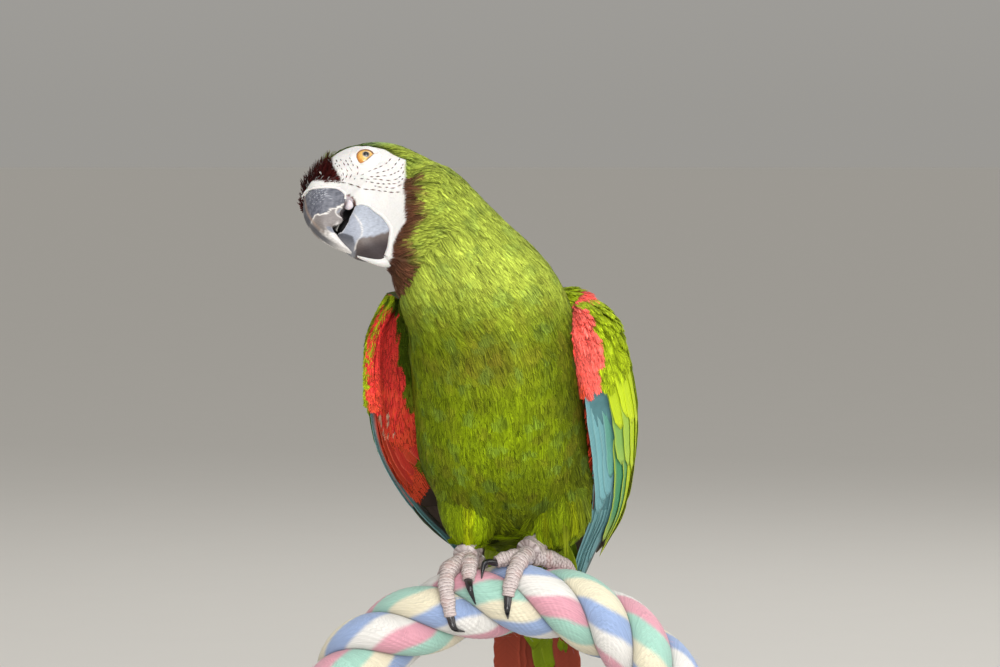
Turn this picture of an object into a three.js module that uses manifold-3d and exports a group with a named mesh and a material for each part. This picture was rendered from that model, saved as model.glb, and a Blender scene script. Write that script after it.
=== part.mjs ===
// A life-size chestnut-fronted macaw gripping a short length of three-strand rope, on a plain
// display stand. Millimetres, +Z up, the bird faces -Y. The bird and the rope are laid out from
// the top of the rope's centreline, and one group sets that point on the stand.
import * as THREE from 'three';
import { mergeVertices } from 'three/addons/utils/BufferGeometryUtils.js';
import Module from 'manifold-3d';

const wasm = await Module();
wasm.setup();

// ---- driving dimensions -------------------------------------------------------------------

const GAP = 0.3; // kept between touching pieces

const BASE = { width: 270, depth: 160, height: 14, corner: 18, bevel: 1.5 };
const ROPE_TOP = new THREE.Vector3(0, -22, 196); // centreline's highest point, on the stand
const ROD_RADIUS = 6;
const FERRULE = { radius: 21.5, height: 16 };

// Rope: three strands laid to the right, on an arch.
const ROPE_RADIUS = 18.8;
const ROPE_VALLEY = 15.6; // radius in the groove between two strands
const ROPE_LAY = 86; // length of one turn
const ROPE_GROOVE = 7; // x at which a groove crosses the front
const ROPE_STEPS = 40;
const ROPE_ARCH = [
  [-102, 0, -94.2], [-102, 0, -80], [-98, 0, -62], [-90, 0, -43], [-77, 0, -26.5], [-54.6, 0, -12.8],
  [-29, 0, -3.1], [-1, 0, 0], [27, 0, -3.6], [51.5, 0, -16.3], [70.4, 0, -34.7], [85, 0, -57],
  [92.5, 0, -78], [92.5, 0, -94.2],
];

// Trunk, from the rump to inside the head:
// centre x, y, z, half width, depth to the front, depth to the back, yaw in degrees.
const TRUNK = [
  [12, 66, 13, 9, 5, 6, 12],
  [10, 58, 22, 19, 11, 13, 12],
  [5, 44, 37, 29, 20, 22, 13],
  [0, 25, 57, 38, 31, 32, 14],
  [-4.5, 8, 80, 44, 40, 38, 15],
  [-8, -6, 104, 44.5, 42, 40, 15],
  [-11, -17, 129, 44, 41, 40, 16],
  [-18, -25, 151, 41.5, 38, 38, 20],
  [-30, -31, 169, 36, 34, 35, 28],
  [-41, -32, 184, 30.5, 30, 34, 38],
  [-53, -28, 197, 27.5, 25, 32, 50],
  [-61, -26, 205, 19, 17, 23, 60],
];
const TRUNK_RINGS = 20;
const TRUNK_SIDES = 24;
const TORSO_TOP = { point: [-18, -25, 151], normal: [-0.36, -0.12, 0.93] };
const NECK_TOP = { point: [-43, -31, 184], normal: [-0.65, 0.1, 0.75] };

// Head, in its own frame: f to the bill, l to the bird's left, u to the crown. The origin lies
// midway between the eyes.
const HEAD_AT = new THREE.Vector3(-79.9, -22, 214.9);
const HEAD_TURN = 72; // degrees to the bird's right
const HEAD_DIP = 13.3; // degrees the bill points below the level
const HEAD_ROLL = 31.6; // degrees the left eye is turned up
const HEAD_HALF_WIDTH = 19;
const HEAD_CORE = [-3, -14]; // f, u of the axis through the two cheeks
const HEAD_PROFILE = [
  [30.5, -4], [28.6, 3.2], [22.2, 9.4], [13.6, 14.2], [2, 17.4], [-12, 17], [-26, 11.5], [-36, 0.5],
  [-40, -16], [-35, -33], [-23, -44], [-10, -48.5], [0, -48.2], [6.5, -45], [9.5, -37.5], [10.5, -28],
  [13, -17.5], [20.5, -11.5], [28, -8.5],
];
const EYE = { at: [-3.6, 14, 3.2], radius: 5.1, tilt: [0.08, 0.97, 0.22] };

// Upper bill: f and u of the culmen, f and u of the cutting edge, half width.
const UPPER_BILL = [
  [25, 3.5, 3, -5, 9.5],
  [29.5, -2.4, 12.7, -12.6, 11.4],
  [32.3, -8.5, 18.3, -19.8, 10.6],
  [33, -14.5, 21.5, -23.5, 9.4],
  [31.2, -21.6, 23.7, -26.5, 7.4],
  [27.8, -28.2, 23, -31, 5.2],
  [23.4, -33.8, 20.4, -35.2, 3.2],
  [17.9, -38.7, 17.1, -39.5, 0.9],
];
// Lower bill, in level slices: u, f of the back, f of the front, half width.
const LOWER_BILL = [
  [-16.5, -2, 9, 9.5],
  [-20.5, -4.5, 13.5, 11.4],
  [-26, -6, 20, 11.6],
  [-30.5, -5.5, 21.6, 10.8],
  [-36, -4, 18.6, 9.6],
  [-41, -1.2, 14.4, 6.8],
  [-44.5, 3, 9.5, 3.4],
];

// Wings. Each row runs across the wing at one distance from the shoulder to the tip: leading
// edge x, y, z, the pull of the outer curve x, y, z, trailing edge x, y, z.
const WING_LEFT = [
  [28, -18, 151, 40, 0, 155, 22, 14, 154],
  [29, -37, 138, 68, -4, 141, 14, 24, 143],
  [35, -28, 102, 82, 14, 104, 14, 42, 106],
  [38.5, -9, 73, 79, 32, 72, 15, 59, 75],
  [39, 14, 44, 71, 52, 42, 17, 74, 45],
  [32, 48, 16, 54, 77, 12, 18, 88, 14],
  [22, 93, -33, 25, 100, -34, 17, 104, -34],
];
const WING_RIGHT = [
  [-60, -4, 150, -62, 8, 151, -47, 10, 152],
  [-71.5, -8, 133, -70, 24, 134, -40, 27, 138],
  [-73.5, 0, 102, -71, 40, 101, -29, 42, 104],
  [-69, 18, 73, -65, 58, 70, -20, 59, 73],
  [-53, 40, 43, -45, 76, 39, -10, 74, 43],
  [-30, 64, 15, -21, 89, 11, 0, 88, 13],
  [-4, 93, -34, -1, 99, -35, 5, 103, -35],
];

// Tail: twelve graduated feathers, the central pair longest.
const TAIL = {
  root: new THREE.Vector3(7, 50, 30),
  along: new THREE.Vector3(0.05, 0.42, -0.906),
  yaw: 13,
  lengths: [222, 206, 182, 158, 134, 112],
  spread: 0.42, // degrees more for each pair
  step: 0.88, // each feather lies this much under the one before
};

// Fleshy root of the tail: x, y, z, half width, half depth.
const TAIL_ROOT = [[7, 48, 32, 20, 9], [9, 60, 12, 19, 7], [10, 68, -4, 14, 3.4]];

// Thighs: x, y, z, half width, half depth, from the belly to the ankle.
const THIGH_RIGHT = [
  [-20, 3, 68, 21, 16],
  [-21, 2, 55, 18, 17],
  [-21, 6, 44.5, 14.5, 13.5],
  [-22, 11, 36.5, 9.8, 9.6],
  [-22, 14, 31.5, 7.4, 7.2],
];
const THIGH_LEFT = [
  [20, 3, 68, 21, 16],
  [22, 2, 55, 16.5, 17],
  [21.5, 6, 45.5, 14.5, 13.5],
  [17, 10.5, 38, 10.5, 10],
  [13, 13.5, 33, 7.4, 7.2],
];

// Feet: the shank, then each toe as x, y, z, radius from the root to the claw.
const FOOT_RIGHT = {
  shank: [[-22, 14.4, 31, 6.2], [-24, 9, 27.6, 6.4], [-26, 3, 25, 6.6]],
  toes: [
    [[-24, 7, 25, 4.6], [-19.5, 15, 21, 4], [-17.5, 21, 12, 3.6], [-18, 22.6, 3.5, 3]],
    [[-25, 1, 24.8, 4.8], [-24, -9, 22.8, 4.2], [-24.4, -15.6, 19.2, 3.6], [-24.6, -19.6, 15.4, 3]],
    [
      [-27, 1, 24.8, 4.8], [-34, -10, 21.4, 4.3], [-36, -19.6, 12.6, 3.9], [-35, -23, 3.4, 3.6],
      [-33.7, -22.6, -6, 3],
    ],
    [
      [-28, 6, 25, 4.6], [-35, 14, 20.6, 4.1], [-38, 21, 11, 3.7], [-37, 23, 1.5, 3.3],
      [-35.5, 21.6, -6, 3],
    ],
  ],
  claws: [
    [[-18, 22.8, 2.6], [-18, 25.5, -3], [-18.5, 22.6, -9.5]],
    [[-24.6, -20.2, 14.6], [-23.6, -24.2, 8.6], [-21, -22.8, 0.3]],
    [[-33.6, -22.9, -7], [-31.6, -26, -13.6], [-26.6, -22, -20.4]],
    [[-35.3, 21.8, -7], [-34, 23.4, -13.2], [-31.5, 18.6, -19]],
  ],
};
const FOOT_LEFT = {
  shank: [[12, 14, 33, 6.2], [9, 9, 29.2, 6.4], [6, 3, 26, 6.6]],
  toes: [
    [[7, 8, 25.4, 4.6], [4, 16, 20.6, 4], [3, 21.4, 11.6, 3.6], [4, 22.8, 3, 3]],
    [[5, 1, 25.6, 4.6], [-2, -2.6, 25.2, 4.1], [-7, -5, 24.2, 3.7], [-10.6, -7, 23.6, 3]],
    [
      [5, 1, 25.6, 4.8], [1.4, -9, 22.6, 4.3], [-1.4, -16.8, 17.2, 3.9], [-3.6, -21.4, 10.4, 3.6],
      [-4.6, -22.8, 4.6, 3],
    ],
    [
      [9, 5, 26.4, 4.8], [17, 8.6, 24.8, 4.4], [24.5, 14.6, 19.6, 4], [29, 21, 10.6, 3.6],
      [30, 22.8, 1.6, 3],
    ],
  ],
  claws: [
    [[4, 23, 2], [4.4, 25.6, -4], [4.6, 22.4, -10.4]],
    [[-11.4, -7.8, 23.9], [-16.4, -12, 22.8], [-18, -15.6, 14.6]],
    [[-4.7, -23.2, 3.8], [-5, -26.4, -3], [-4.6, -22.8, -9.8]],
    [[30, 23, 0.6], [29.4, 25.4, -5.4], [28, 22, -11.6]],
  ],
};

const LEGS = [
  { side: 'right', rows: THIGH_RIGHT, foot: FOOT_RIGHT },
  { side: 'left', rows: THIGH_LEFT, foot: FOOT_LEFT },
];
const THIGH_FACETS = { rings: 7, sides: 14 };
const SHANK_RISE = [20, 4, 0]; // how much higher than the toes each part of the shank may stand
const TOE_SINK = 0.8; // how far a toe is pressed into the rope
const CLAW_RADII = [2.1, 1.5, 0.45];
const CLAW_ARCH = [2.4, 4.6, 0.2]; // height of a claw's middle line over the rope, base to tip

const LOOK = {
  green: { color: 0x7d9a1a, roughness: 0.85, metalness: 0 },
  wingGreen: { color: 0x86a423, roughness: 0.8, metalness: 0 },
  tail: { color: 0x7a3a26, roughness: 0.75, metalness: 0 },
  face: { color: 0xe9e6df, roughness: 0.7, metalness: 0 },
  bill: { color: 0x5b5c62, roughness: 0.4, metalness: 0 },
  lowerBill: { color: 0x9aa0aa, roughness: 0.4, metalness: 0 },
  eye: { color: 0xe0a040, roughness: 0.15, metalness: 0 },
  foot: { color: 0xa89a96, roughness: 0.7, metalness: 0 },
  claw: { color: 0x2c2a2c, roughness: 0.3, metalness: 0 },
  rope: { color: 0xe8e2cf, roughness: 0.95, metalness: 0 },
  steel: { color: 0x9a9c9e, roughness: 0.35, metalness: 1 },
  base: { color: 0x2b2b2d, roughness: 0.5, metalness: 0 },
};

// ---- curves and solids --------------------------------------------------------------------

const radians = THREE.MathUtils.degToRad;
const vector = (values) => new THREE.Vector3(values[0], values[1], values[2]);

// Smooth curve through rows of numbers, for t from 0 to 1.
function along(rows, t) {
  const last = rows.length - 1;
  const s = THREE.MathUtils.clamp(t, 0, 1) * last;
  const i = Math.min(Math.floor(s), last - 1);
  const f = s - i;
  const row = (k) => rows[THREE.MathUtils.clamp(k, 0, last)];
  return rows[0].map((_, c) => {
    const a = row(i - 1)[c];
    const b = row(i)[c];
    const d = row(i + 1)[c];
    const e = row(i + 2)[c];
    const linear = d - a;
    const square = 2 * a - 5 * b + 4 * d - e;
    const cube = 3 * b - a - 3 * d + e;
    return 0.5 * (2 * b + linear * f + square * f * f + cube * f * f * f);
  });
}

// Unit direction of a curve at t.
function heading(rows, t) {
  const step = 0.01;
  const before = vector(along(rows, t - step));
  const after = vector(along(rows, t + step));
  return after.sub(before).normalize();
}

function solidFrom(points, faces) {
  const cross = new THREE.Vector3();
  let volume = 0;
  for (const [a, b, c] of faces) {
    volume += points[a].dot(cross.crossVectors(points[b], points[c]));
  }
  const outward = volume < 0 ? ([a, b, c]) => [a, c, b] : (face) => face;
  return new wasm.Manifold(new wasm.Mesh({
    numProp: 3,
    vertProperties: new Float32Array(points.flatMap((p) => p.toArray())),
    triVerts: new Uint32Array(faces.flatMap(outward)),
  }));
}

// Closed solid through rings of points. mirrored(j) turns the split of the faces at side j.
function loft(rings, mirrored = () => false) {
  const sides = rings[0].length;
  const points = rings.flat();
  const faces = [];
  for (let i = 0; i + 1 < rings.length; i++) {
    for (let j = 0; j < sides; j++) {
      const a = i * sides + j;
      const b = i * sides + ((j + 1) % sides);
      const c = a + sides;
      const d = b + sides;
      if (mirrored(j)) {
        faces.push([a, b, c], [b, d, c]);
      } else {
        faces.push([a, b, d], [a, d, c]);
      }
    }
  }
  const ends = [[rings[0], 0, true], [rings.at(-1), points.length - sides, false]];
  for (const [ring, first, flip] of ends) {
    const centre = ring.reduce((sum, p) => sum.add(p), new THREE.Vector3()).divideScalar(sides);
    points.push(centre);
    for (let j = 0; j < sides; j++) {
      const a = first + j;
      const b = first + ((j + 1) % sides);
      faces.push(flip ? [b, a, points.length - 1] : [a, b, points.length - 1]);
    }
  }
  return solidFrom(points, faces);
}

// Closed sheet between two grids of points, both split along the same diagonals.
function slab(top, bottom) {
  const rows = top.length;
  const columns = top[0].length;
  const points = [...top.flat(), ...bottom.flat()];
  const under = rows * columns;
  const at = (i, j) => i * columns + j;
  const faces = [];
  for (let i = 0; i + 1 < rows; i++) {
    for (let j = 0; j + 1 < columns; j++) {
      const [a, b, c, d] = [at(i, j), at(i, j + 1), at(i + 1, j), at(i + 1, j + 1)];
      faces.push([a, b, d], [a, d, c]);
      faces.push([under + a, under + d, under + b], [under + a, under + c, under + d]);
    }
  }
  const wall = (a, b) => faces.push([a, b, under + a], [b, under + b, under + a]);
  for (let i = 0; i + 1 < rows; i++) {
    wall(at(i, 0), at(i + 1, 0));
    wall(at(i + 1, columns - 1), at(i, columns - 1));
  }
  for (let j = 0; j + 1 < columns; j++) {
    wall(at(0, j + 1), at(0, j));
    wall(at(rows - 1, j), at(rows - 1, j + 1));
  }
  return solidFrom(points, faces);
}

const union = (solids) => solids.reduce((joined, solid) => joined.add(solid));

// Largest closed surface of a solid.
function largest(solid) {
  return solid.decompose().reduce((best, piece) => (piece.volume() > best.volume() ? piece : best));
}

function fromGeometry(geometry) {
  const bare = geometry.clone();
  bare.deleteAttribute('normal');
  bare.deleteAttribute('uv');
  const merged = mergeVertices(bare, 1e-4);
  const position = merged.attributes.position;
  const points = [];
  for (let i = 0; i < position.count; i++) {
    points.push(new THREE.Vector3().fromBufferAttribute(position, i));
  }
  const index = Array.from(merged.index.array);
  const faces = [];
  for (let i = 0; i < index.length; i += 3) {
    faces.push(index.slice(i, i + 3));
  }
  return solidFrom(points, faces);
}

function meshOf(name, solid, look) {
  const kept = largest(solid).getMesh();
  const geometry = new THREE.BufferGeometry();
  const places = new Float32Array(kept.vertProperties);
  geometry.setAttribute('position', new THREE.BufferAttribute(places, 3));
  geometry.setIndex(new THREE.BufferAttribute(new Uint32Array(kept.triVerts), 1));
  geometry.computeVertexNormals();
  const mesh = new THREE.Mesh(geometry, new THREE.MeshStandardMaterial(look));
  mesh.name = name;
  return mesh;
}

// Round or oval tube along rows of x, y, z, radius (and a second radius).
function limb(rows, { rings = 8, sides = 10, ridge = 0, grow = 0 } = {}) {
  const list = [];
  for (let i = 0; i <= rings; i++) {
    const t = i / rings;
    const [x, y, z, wide, deep = wide] = along(rows, t);
    const axis = heading(rows, t);
    const side = new THREE.Vector3(1, 0, 0).addScaledVector(axis, -axis.x).normalize();
    const depth = new THREE.Vector3().crossVectors(axis, side);
    const swell = 1 + ridge * (i % 2 === 0 ? 1 : -1);
    list.push(Array.from({ length: sides }, (_, j) => {
      const angle = (2 * Math.PI * j) / sides;
      return new THREE.Vector3(x, y, z)
        .addScaledVector(side, (wide + grow) * swell * Math.cos(angle))
        .addScaledVector(depth, (deep + grow) * swell * Math.sin(angle));
    }));
  }
  return loft(list);
}

// ---- trunk, neck and head -----------------------------------------------------------------

function trunk(grow) {
  const rings = [];
  for (let i = 0; i <= TRUNK_RINGS; i++) {
    const t = i / TRUNK_RINGS;
    const [x, y, z, half, front, back, yaw] = along(TRUNK, t);
    const axis = heading(TRUNK, t);
    const left = new THREE.Vector3(Math.cos(radians(yaw)), -Math.sin(radians(yaw)), 0);
    left.addScaledVector(axis, -left.dot(axis)).normalize();
    const rear = new THREE.Vector3().crossVectors(axis, left);
    rings.push(Array.from({ length: TRUNK_SIDES }, (_, j) => {
      const angle = (2 * Math.PI * j) / TRUNK_SIDES;
      const depth = Math.sin(angle) > 0 ? back : front;
      return new THREE.Vector3(x, y, z)
        .addScaledVector(left, (half + grow) * Math.cos(angle))
        .addScaledVector(rear, (depth + grow) * Math.sin(angle));
    }));
  }
  return loft(rings);
}

const HEAD_F = new THREE.Vector3(
  -Math.sin(radians(HEAD_TURN)) * Math.cos(radians(HEAD_DIP)),
  -Math.cos(radians(HEAD_TURN)) * Math.cos(radians(HEAD_DIP)),
  -Math.sin(radians(HEAD_DIP)),
);
const HEAD_U = new THREE.Vector3(0, 0, 1)
  .addScaledVector(HEAD_F, -HEAD_F.z)
  .normalize()
  .applyAxisAngle(HEAD_F, radians(HEAD_ROLL));
const HEAD_L = new THREE.Vector3().crossVectors(HEAD_U, HEAD_F);

function onHead(f, l, u) {
  return HEAD_AT.clone()
    .addScaledVector(HEAD_F, f)
    .addScaledVector(HEAD_L, l)
    .addScaledVector(HEAD_U, u);
}

function skull() {
  const slices = 10;
  const round = 22;
  const closed = [...HEAD_PROFILE, HEAD_PROFILE[0]];
  const rings = [];
  for (let i = 1; i < slices; i++) {
    const q = Math.PI * (i / slices - 0.5);
    const reach = Math.cos(q) ** 0.82;
    rings.push(Array.from({ length: round }, (_, j) => {
      const [f, u] = along(closed, j / round);
      const core = HEAD_CORE;
      return onHead(
        core[0] + (f - core[0]) * reach,
        HEAD_HALF_WIDTH * Math.sin(q),
        core[1] + (u - core[1]) * reach,
      );
    }));
  }
  return loft(rings);
}

const BILL_SIDES = 10;

function upperBill(grow, from = 0, to = 1) {
  const rings = [];
  const steps = 10;
  for (let i = 0; i <= steps; i++) {
    const [cf, cu, ef, eu, half] = along(UPPER_BILL, from + ((to - from) * i) / steps);
    const mid = [(cf + ef) / 2, (cu + eu) / 2];
    const out = [(cf - ef) / 2, (cu - eu) / 2];
    const reach = Math.hypot(...out);
    const scale = (reach + grow) / reach;
    rings.push(Array.from({ length: BILL_SIDES }, (_, j) => {
      const angle = (2 * Math.PI * j) / BILL_SIDES;
      const height = Math.sin(angle) * scale;
      const fullness = height < 0 ? 0.55 : 0.85;
      const width = Math.sign(Math.cos(angle)) * Math.abs(Math.cos(angle)) ** fullness;
      return onHead(mid[0] + out[0] * height, (half + grow) * width, mid[1] + out[1] * height);
    }));
  }
  return loft(rings);
}

function lowerBill(grow) {
  const rings = [];
  const steps = 7;
  for (let i = 0; i <= steps; i++) {
    const [u, back, front, half] = along(LOWER_BILL, i / steps);
    const lift = grow * (1 - (2 * i) / steps);
    rings.push(Array.from({ length: BILL_SIDES }, (_, j) => {
      const angle = (2 * Math.PI * j) / BILL_SIDES;
      const f = (back + front) / 2 + ((front - back) / 2 + grow) * Math.cos(angle);
      const width = Math.sign(Math.sin(angle)) * Math.abs(Math.sin(angle)) ** 0.75;
      return onHead(f, (half + grow) * width, u + lift);
    }));
  }
  return loft(rings);
}

function ball(centre, radius, round = 12) {
  const geometry = new THREE.SphereGeometry(radius, round, round / 2 + 1);
  geometry.applyMatrix4(new THREE.Matrix4().makeBasis(HEAD_F, HEAD_L, HEAD_U).setPosition(centre));
  return fromGeometry(geometry);
}

// Almond rim of the eyelids, standing a little off the cheek.
function eyelids(side) {
  const [f, l, u] = EYE.at;
  const axis = new THREE.Vector3(EYE.tilt[0], EYE.tilt[1] * side, EYE.tilt[2]).normalize();
  const rim = new THREE.TorusGeometry(EYE.radius * 0.98, 0.95, 5, 12);
  const turn = new THREE.Quaternion().setFromUnitVectors(new THREE.Vector3(0, 0, 1), axis);
  rim.applyQuaternion(turn);
  const place = new THREE.Vector3(f, l * side, u).addScaledVector(axis, 2.6);
  rim.translate(...place.toArray());
  rim.applyMatrix4(new THREE.Matrix4().makeBasis(HEAD_F, HEAD_L, HEAD_U).setPosition(HEAD_AT));
  return fromGeometry(rim);
}

function nostril(side) {
  return ball(onHead(29.4, 4.6 * side, 3.2), 1.5, 8);
}

function eyeCentre(side) {
  return onHead(EYE.at[0], EYE.at[1] * side, EYE.at[2]);
}

// ---- feathers -----------------------------------------------------------------------------

// Random numbers from 0 to 1, the same each time.
function dice(seed) {
  let state = seed;
  return () => {
    state = (state * 1664525 + 1013904223) % 4294967296;
    return state / 4294967296;
  };
}

// One vane over stations of { at, side, normal, lead, trail, thick, tilt }. Its leading edge is
// tilted up, so that it lies over the trailing edge of the vane before it.
function vane(stations) {
  const face = (sign) => stations.map((s) => [-s.lead, s.trail].map((across) => s.at.clone()
    .addScaledVector(s.side, across)
    .addScaledVector(s.normal, (sign * s.thick) / 2 - across * s.tilt)));
  return slab(face(1), face(-1));
}

// Share of the full width along a feather, from the root to the tip.
function fullness(t) {
  const opening = Math.min(1, 0.4 + 2.4 * t);
  const closing = t < 0.72 ? 1 : Math.cos(((t - 0.72) / 0.28) * 1.32);
  return opening * closing;
}

function wingPoint(rows, u, v) {
  const r = along(rows, u);
  const w = 1 - v;
  const point = new THREE.Vector3();
  point.addScaledVector(vector(r.slice(0, 3)), w * w);
  point.addScaledVector(vector(r.slice(3, 6)), 2 * w * v);
  point.addScaledVector(vector(r.slice(6, 9)), v * v);
  return point;
}

// Place and directions on a wing: down to the tip, across to the trailing edge, and outward.
function wingFrame(rows, u, v, outside) {
  const step = 0.01;
  const below = Math.min(u + step, 1);
  const down = wingPoint(rows, below, v).sub(wingPoint(rows, below - 2 * step, v));
  const across = wingPoint(rows, u, v + step).sub(wingPoint(rows, u, v - step));
  const normal = new THREE.Vector3().crossVectors(down, across).normalize().multiplyScalar(outside);
  return { at: wingPoint(rows, u, v), normal, across: across.normalize() };
}

// Half the thickness of the fleshy part of a wing.
function wingFlesh(u, v) {
  const lengthwise = THREE.MathUtils.clamp(1.15 - 1.6 * u, 0.12, 1);
  const crosswise = 0.35 + 1.3 * Math.sqrt(v) * (1 - v) ** 1.1;
  return 0.5 + 5.2 * lengthwise * crosswise;
}

const CORE_END = 0.52;

function wingCore(rows, outside) {
  const faces = [1, -1].map((sign) => {
    const grid = [];
    for (let i = 0; i <= 6; i++) {
      const u = (CORE_END * i) / 6;
      grid.push([0, 0.06, 0.2, 0.4, 0.62, 0.82, 1].map((v) => {
        const frame = wingFrame(rows, u, v, outside);
        return frame.at.addScaledVector(frame.normal, sign * wingFlesh(u, v));
      }));
    }
    return grid;
  });
  return slab(faces[0], faces[1]);
}

// A feather lying on a wing from (u, v) at the root to the tip. lift is the height of root and
// tip over the wing's middle surface, negative below it.
function wingFeather(rows, outside, { from, to, lead, trail, lift, thick, tilt, cuts }) {
  const stations = [];
  for (let i = 0; i <= cuts; i++) {
    const t = i / cuts;
    const u = THREE.MathUtils.lerp(from[0], to[0], t);
    const v = THREE.MathUtils.lerp(from[1], to[1], t);
    const frame = wingFrame(rows, u, v, outside);
    const wide = Math.max(fullness(t), 0.2);
    const height = THREE.MathUtils.lerp(lift[0], lift[1], Math.min(1, 2.2 * t));
    stations.push({
      at: frame.at.addScaledVector(frame.normal, height),
      side: frame.across,
      normal: frame.normal,
      lead: lead * wide,
      trail: trail * wide,
      thick: THREE.MathUtils.lerp(thick, 0.55, t),
      tilt,
    });
  }
  return vane(stations);
}

// Feather groups of one wing. Each has a count, root and tip places of its first and last
// feather, vane widths before and behind the shaft, the heights of root and tip over the wing's
// middle surface, the rise from one feather to the next, and the tilt of the vanes.
const WING_GROUPS = {
  primaries: {
    count: 8, from: [[0.42, 0.05], [0.4, 0.46]], to: [[0.965, 0.1], [0.76, 0.5]],
    lead: 3.8, trail: 8.6, lift: [0.2, -2.6], rise: 0.86, tilt: 0.12, thick: 0.6, cuts: 4,
  },
  secondaries: {
    count: 7, from: [[0.36, 0.46], [0.32, 0.96]], to: [[0.73, 0.52], [0.8, 0.97]],
    lead: 5.5, trail: 8.5, lift: [0.6, 4.8], rise: 0.1, tilt: 0.17, thick: 0.6, cuts: 4,
  },
  primaryCoverts: {
    count: 5, from: [[0.3, 0.06], [0.28, 0.34]], to: [[0.63, 0.06], [0.56, 0.34]],
    lead: 3.6, trail: 8, lift: [1.2, 0.4], rise: 1.2, tilt: 0.12, thick: 0.6, cuts: 3,
  },
  greaterCoverts: {
    count: 6, from: [[0.24, 0.42], [0.22, 0.95]], to: [[0.53, 0.44], [0.56, 0.96]],
    lead: 5.5, trail: 9, lift: [1.4, 7.8], rise: 0, tilt: 0.15, thick: 0.6, cuts: 3,
  },
  medianCoverts: {
    count: 5, from: [[0.12, 0.26], [0.1, 0.92]], to: [[0.37, 0.3], [0.38, 0.94]],
    lead: 6, trail: 10, lift: [1.4, 8.2], rise: 0, tilt: 0.12, thick: 0.6, cuts: 3,
  },
};

const UNDER_GROUPS = {
  greaterUnder: {
    count: 5, from: [[0.3, 0.12], [0.26, 0.88]], to: [[0.6, 0.14], [0.54, 0.9]],
    lead: 6, trail: 8, lift: [-0.6, -4.4], rise: 0, tilt: -0.12, thick: 0.6, cuts: 3,
  },
  lesserUnder: {
    count: 3, from: [[0.12, 0.14], [0.1, 0.84]], to: [[0.38, 0.16], [0.36, 0.86]],
    lead: 6, trail: 8, lift: [-0.6, -6.4], rise: 0, tilt: -0.12, thick: 0.6, cuts: 3,
  },
};

function groupFeathers(rows, outside, groups, roll) {
  const feathers = [];
  for (const group of Object.values(groups)) {
    for (let i = 0; i < group.count; i++) {
      const share = i / (group.count - 1);
      const mix = ([first, last]) => first.map((value, c) => THREE.MathUtils.lerp(value, last[c], share));
      const to = mix(group.to);
      to[0] += 0.012 * (roll() - 0.5);
      feathers.push(wingFeather(rows, outside, {
        ...group,
        from: mix(group.from),
        to,
        lift: [group.lift[0], group.lift[1] + group.rise * i],
      }));
    }
  }
  return feathers;
}

function wing(rows, outside, seed, body) {
  const roll = dice(seed);
  const feathers = groupFeathers(rows, outside, { ...WING_GROUPS, ...UNDER_GROUPS }, roll);
  const shoulder = limb(SHOULDERS[outside], { rings: 4, sides: 8 });
  return union([wingCore(rows, outside), shoulder, ...feathers]).subtract(body);
}

// Upper arm of each wing, from inside the body to the wrist: x, y, z, radius.
const SHOULDERS = {
  1: [[20, 0, 150, 9], [28, 2, 152, 9], [38, 0, 148, 8], [46, -6, 138, 6]],
  '-1': [[-38, 4, 146, 9], [-48, 8, 148, 9], [-60, 10, 144, 8], [-68, 10, 134, 6]],
};

function tailFeather(side, pair) {
  const { root, along: axis, yaw, lengths, spread } = TAIL;
  const down = axis.clone().normalize();
  const left = new THREE.Vector3(Math.cos(radians(yaw)), -Math.sin(radians(yaw)), 0);
  left.addScaledVector(down, -left.dot(down)).normalize();
  const rear = new THREE.Vector3().crossVectors(left, down);
  const fan = radians(spread * (pair - 1)) * side;
  const length = lengths[pair];
  const stations = [];
  for (let i = 0; i <= 5; i++) {
    const t = i / 5;
    const run = length * t;
    const wide = Math.max(fullness(t), 0.22);
    const across = side * (2.2 + 2.5 * pair) + Math.sin(fan) * run;
    const drop = -TAIL.step * (2 * pair + (side > 0 ? 1 : 0));
    const settle = drop * Math.min(1, 3 * t) - 0.0012 * across * across;
    stations.push({
      at: root.clone()
        .addScaledVector(down, Math.cos(fan) * run)
        .addScaledVector(left, across)
        .addScaledVector(rear, settle - 0.00016 * run * run),
      side: left.clone().multiplyScalar(side),
      normal: rear,
      lead: 7.6 * wide,
      trail: 6.4 * wide,
      thick: 0.55,
      tilt: 0.03,
    });
  }
  return vane(stations);
}

// ---- assembly -----------------------------------------------------------------------------

function plane({ point, normal }, shift) {
  const direction = vector(normal).normalize();
  return [direction.toArray(), vector(point).dot(direction) + shift];
}

function above(solid, cut) {
  return solid.trimByPlane(...plane(cut, GAP / 2));
}

function below(solid, cut) {
  const [normal, offset] = plane(cut, -GAP / 2);
  return solid.trimByPlane(normal.map((value) => -value), -offset);
}

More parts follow.
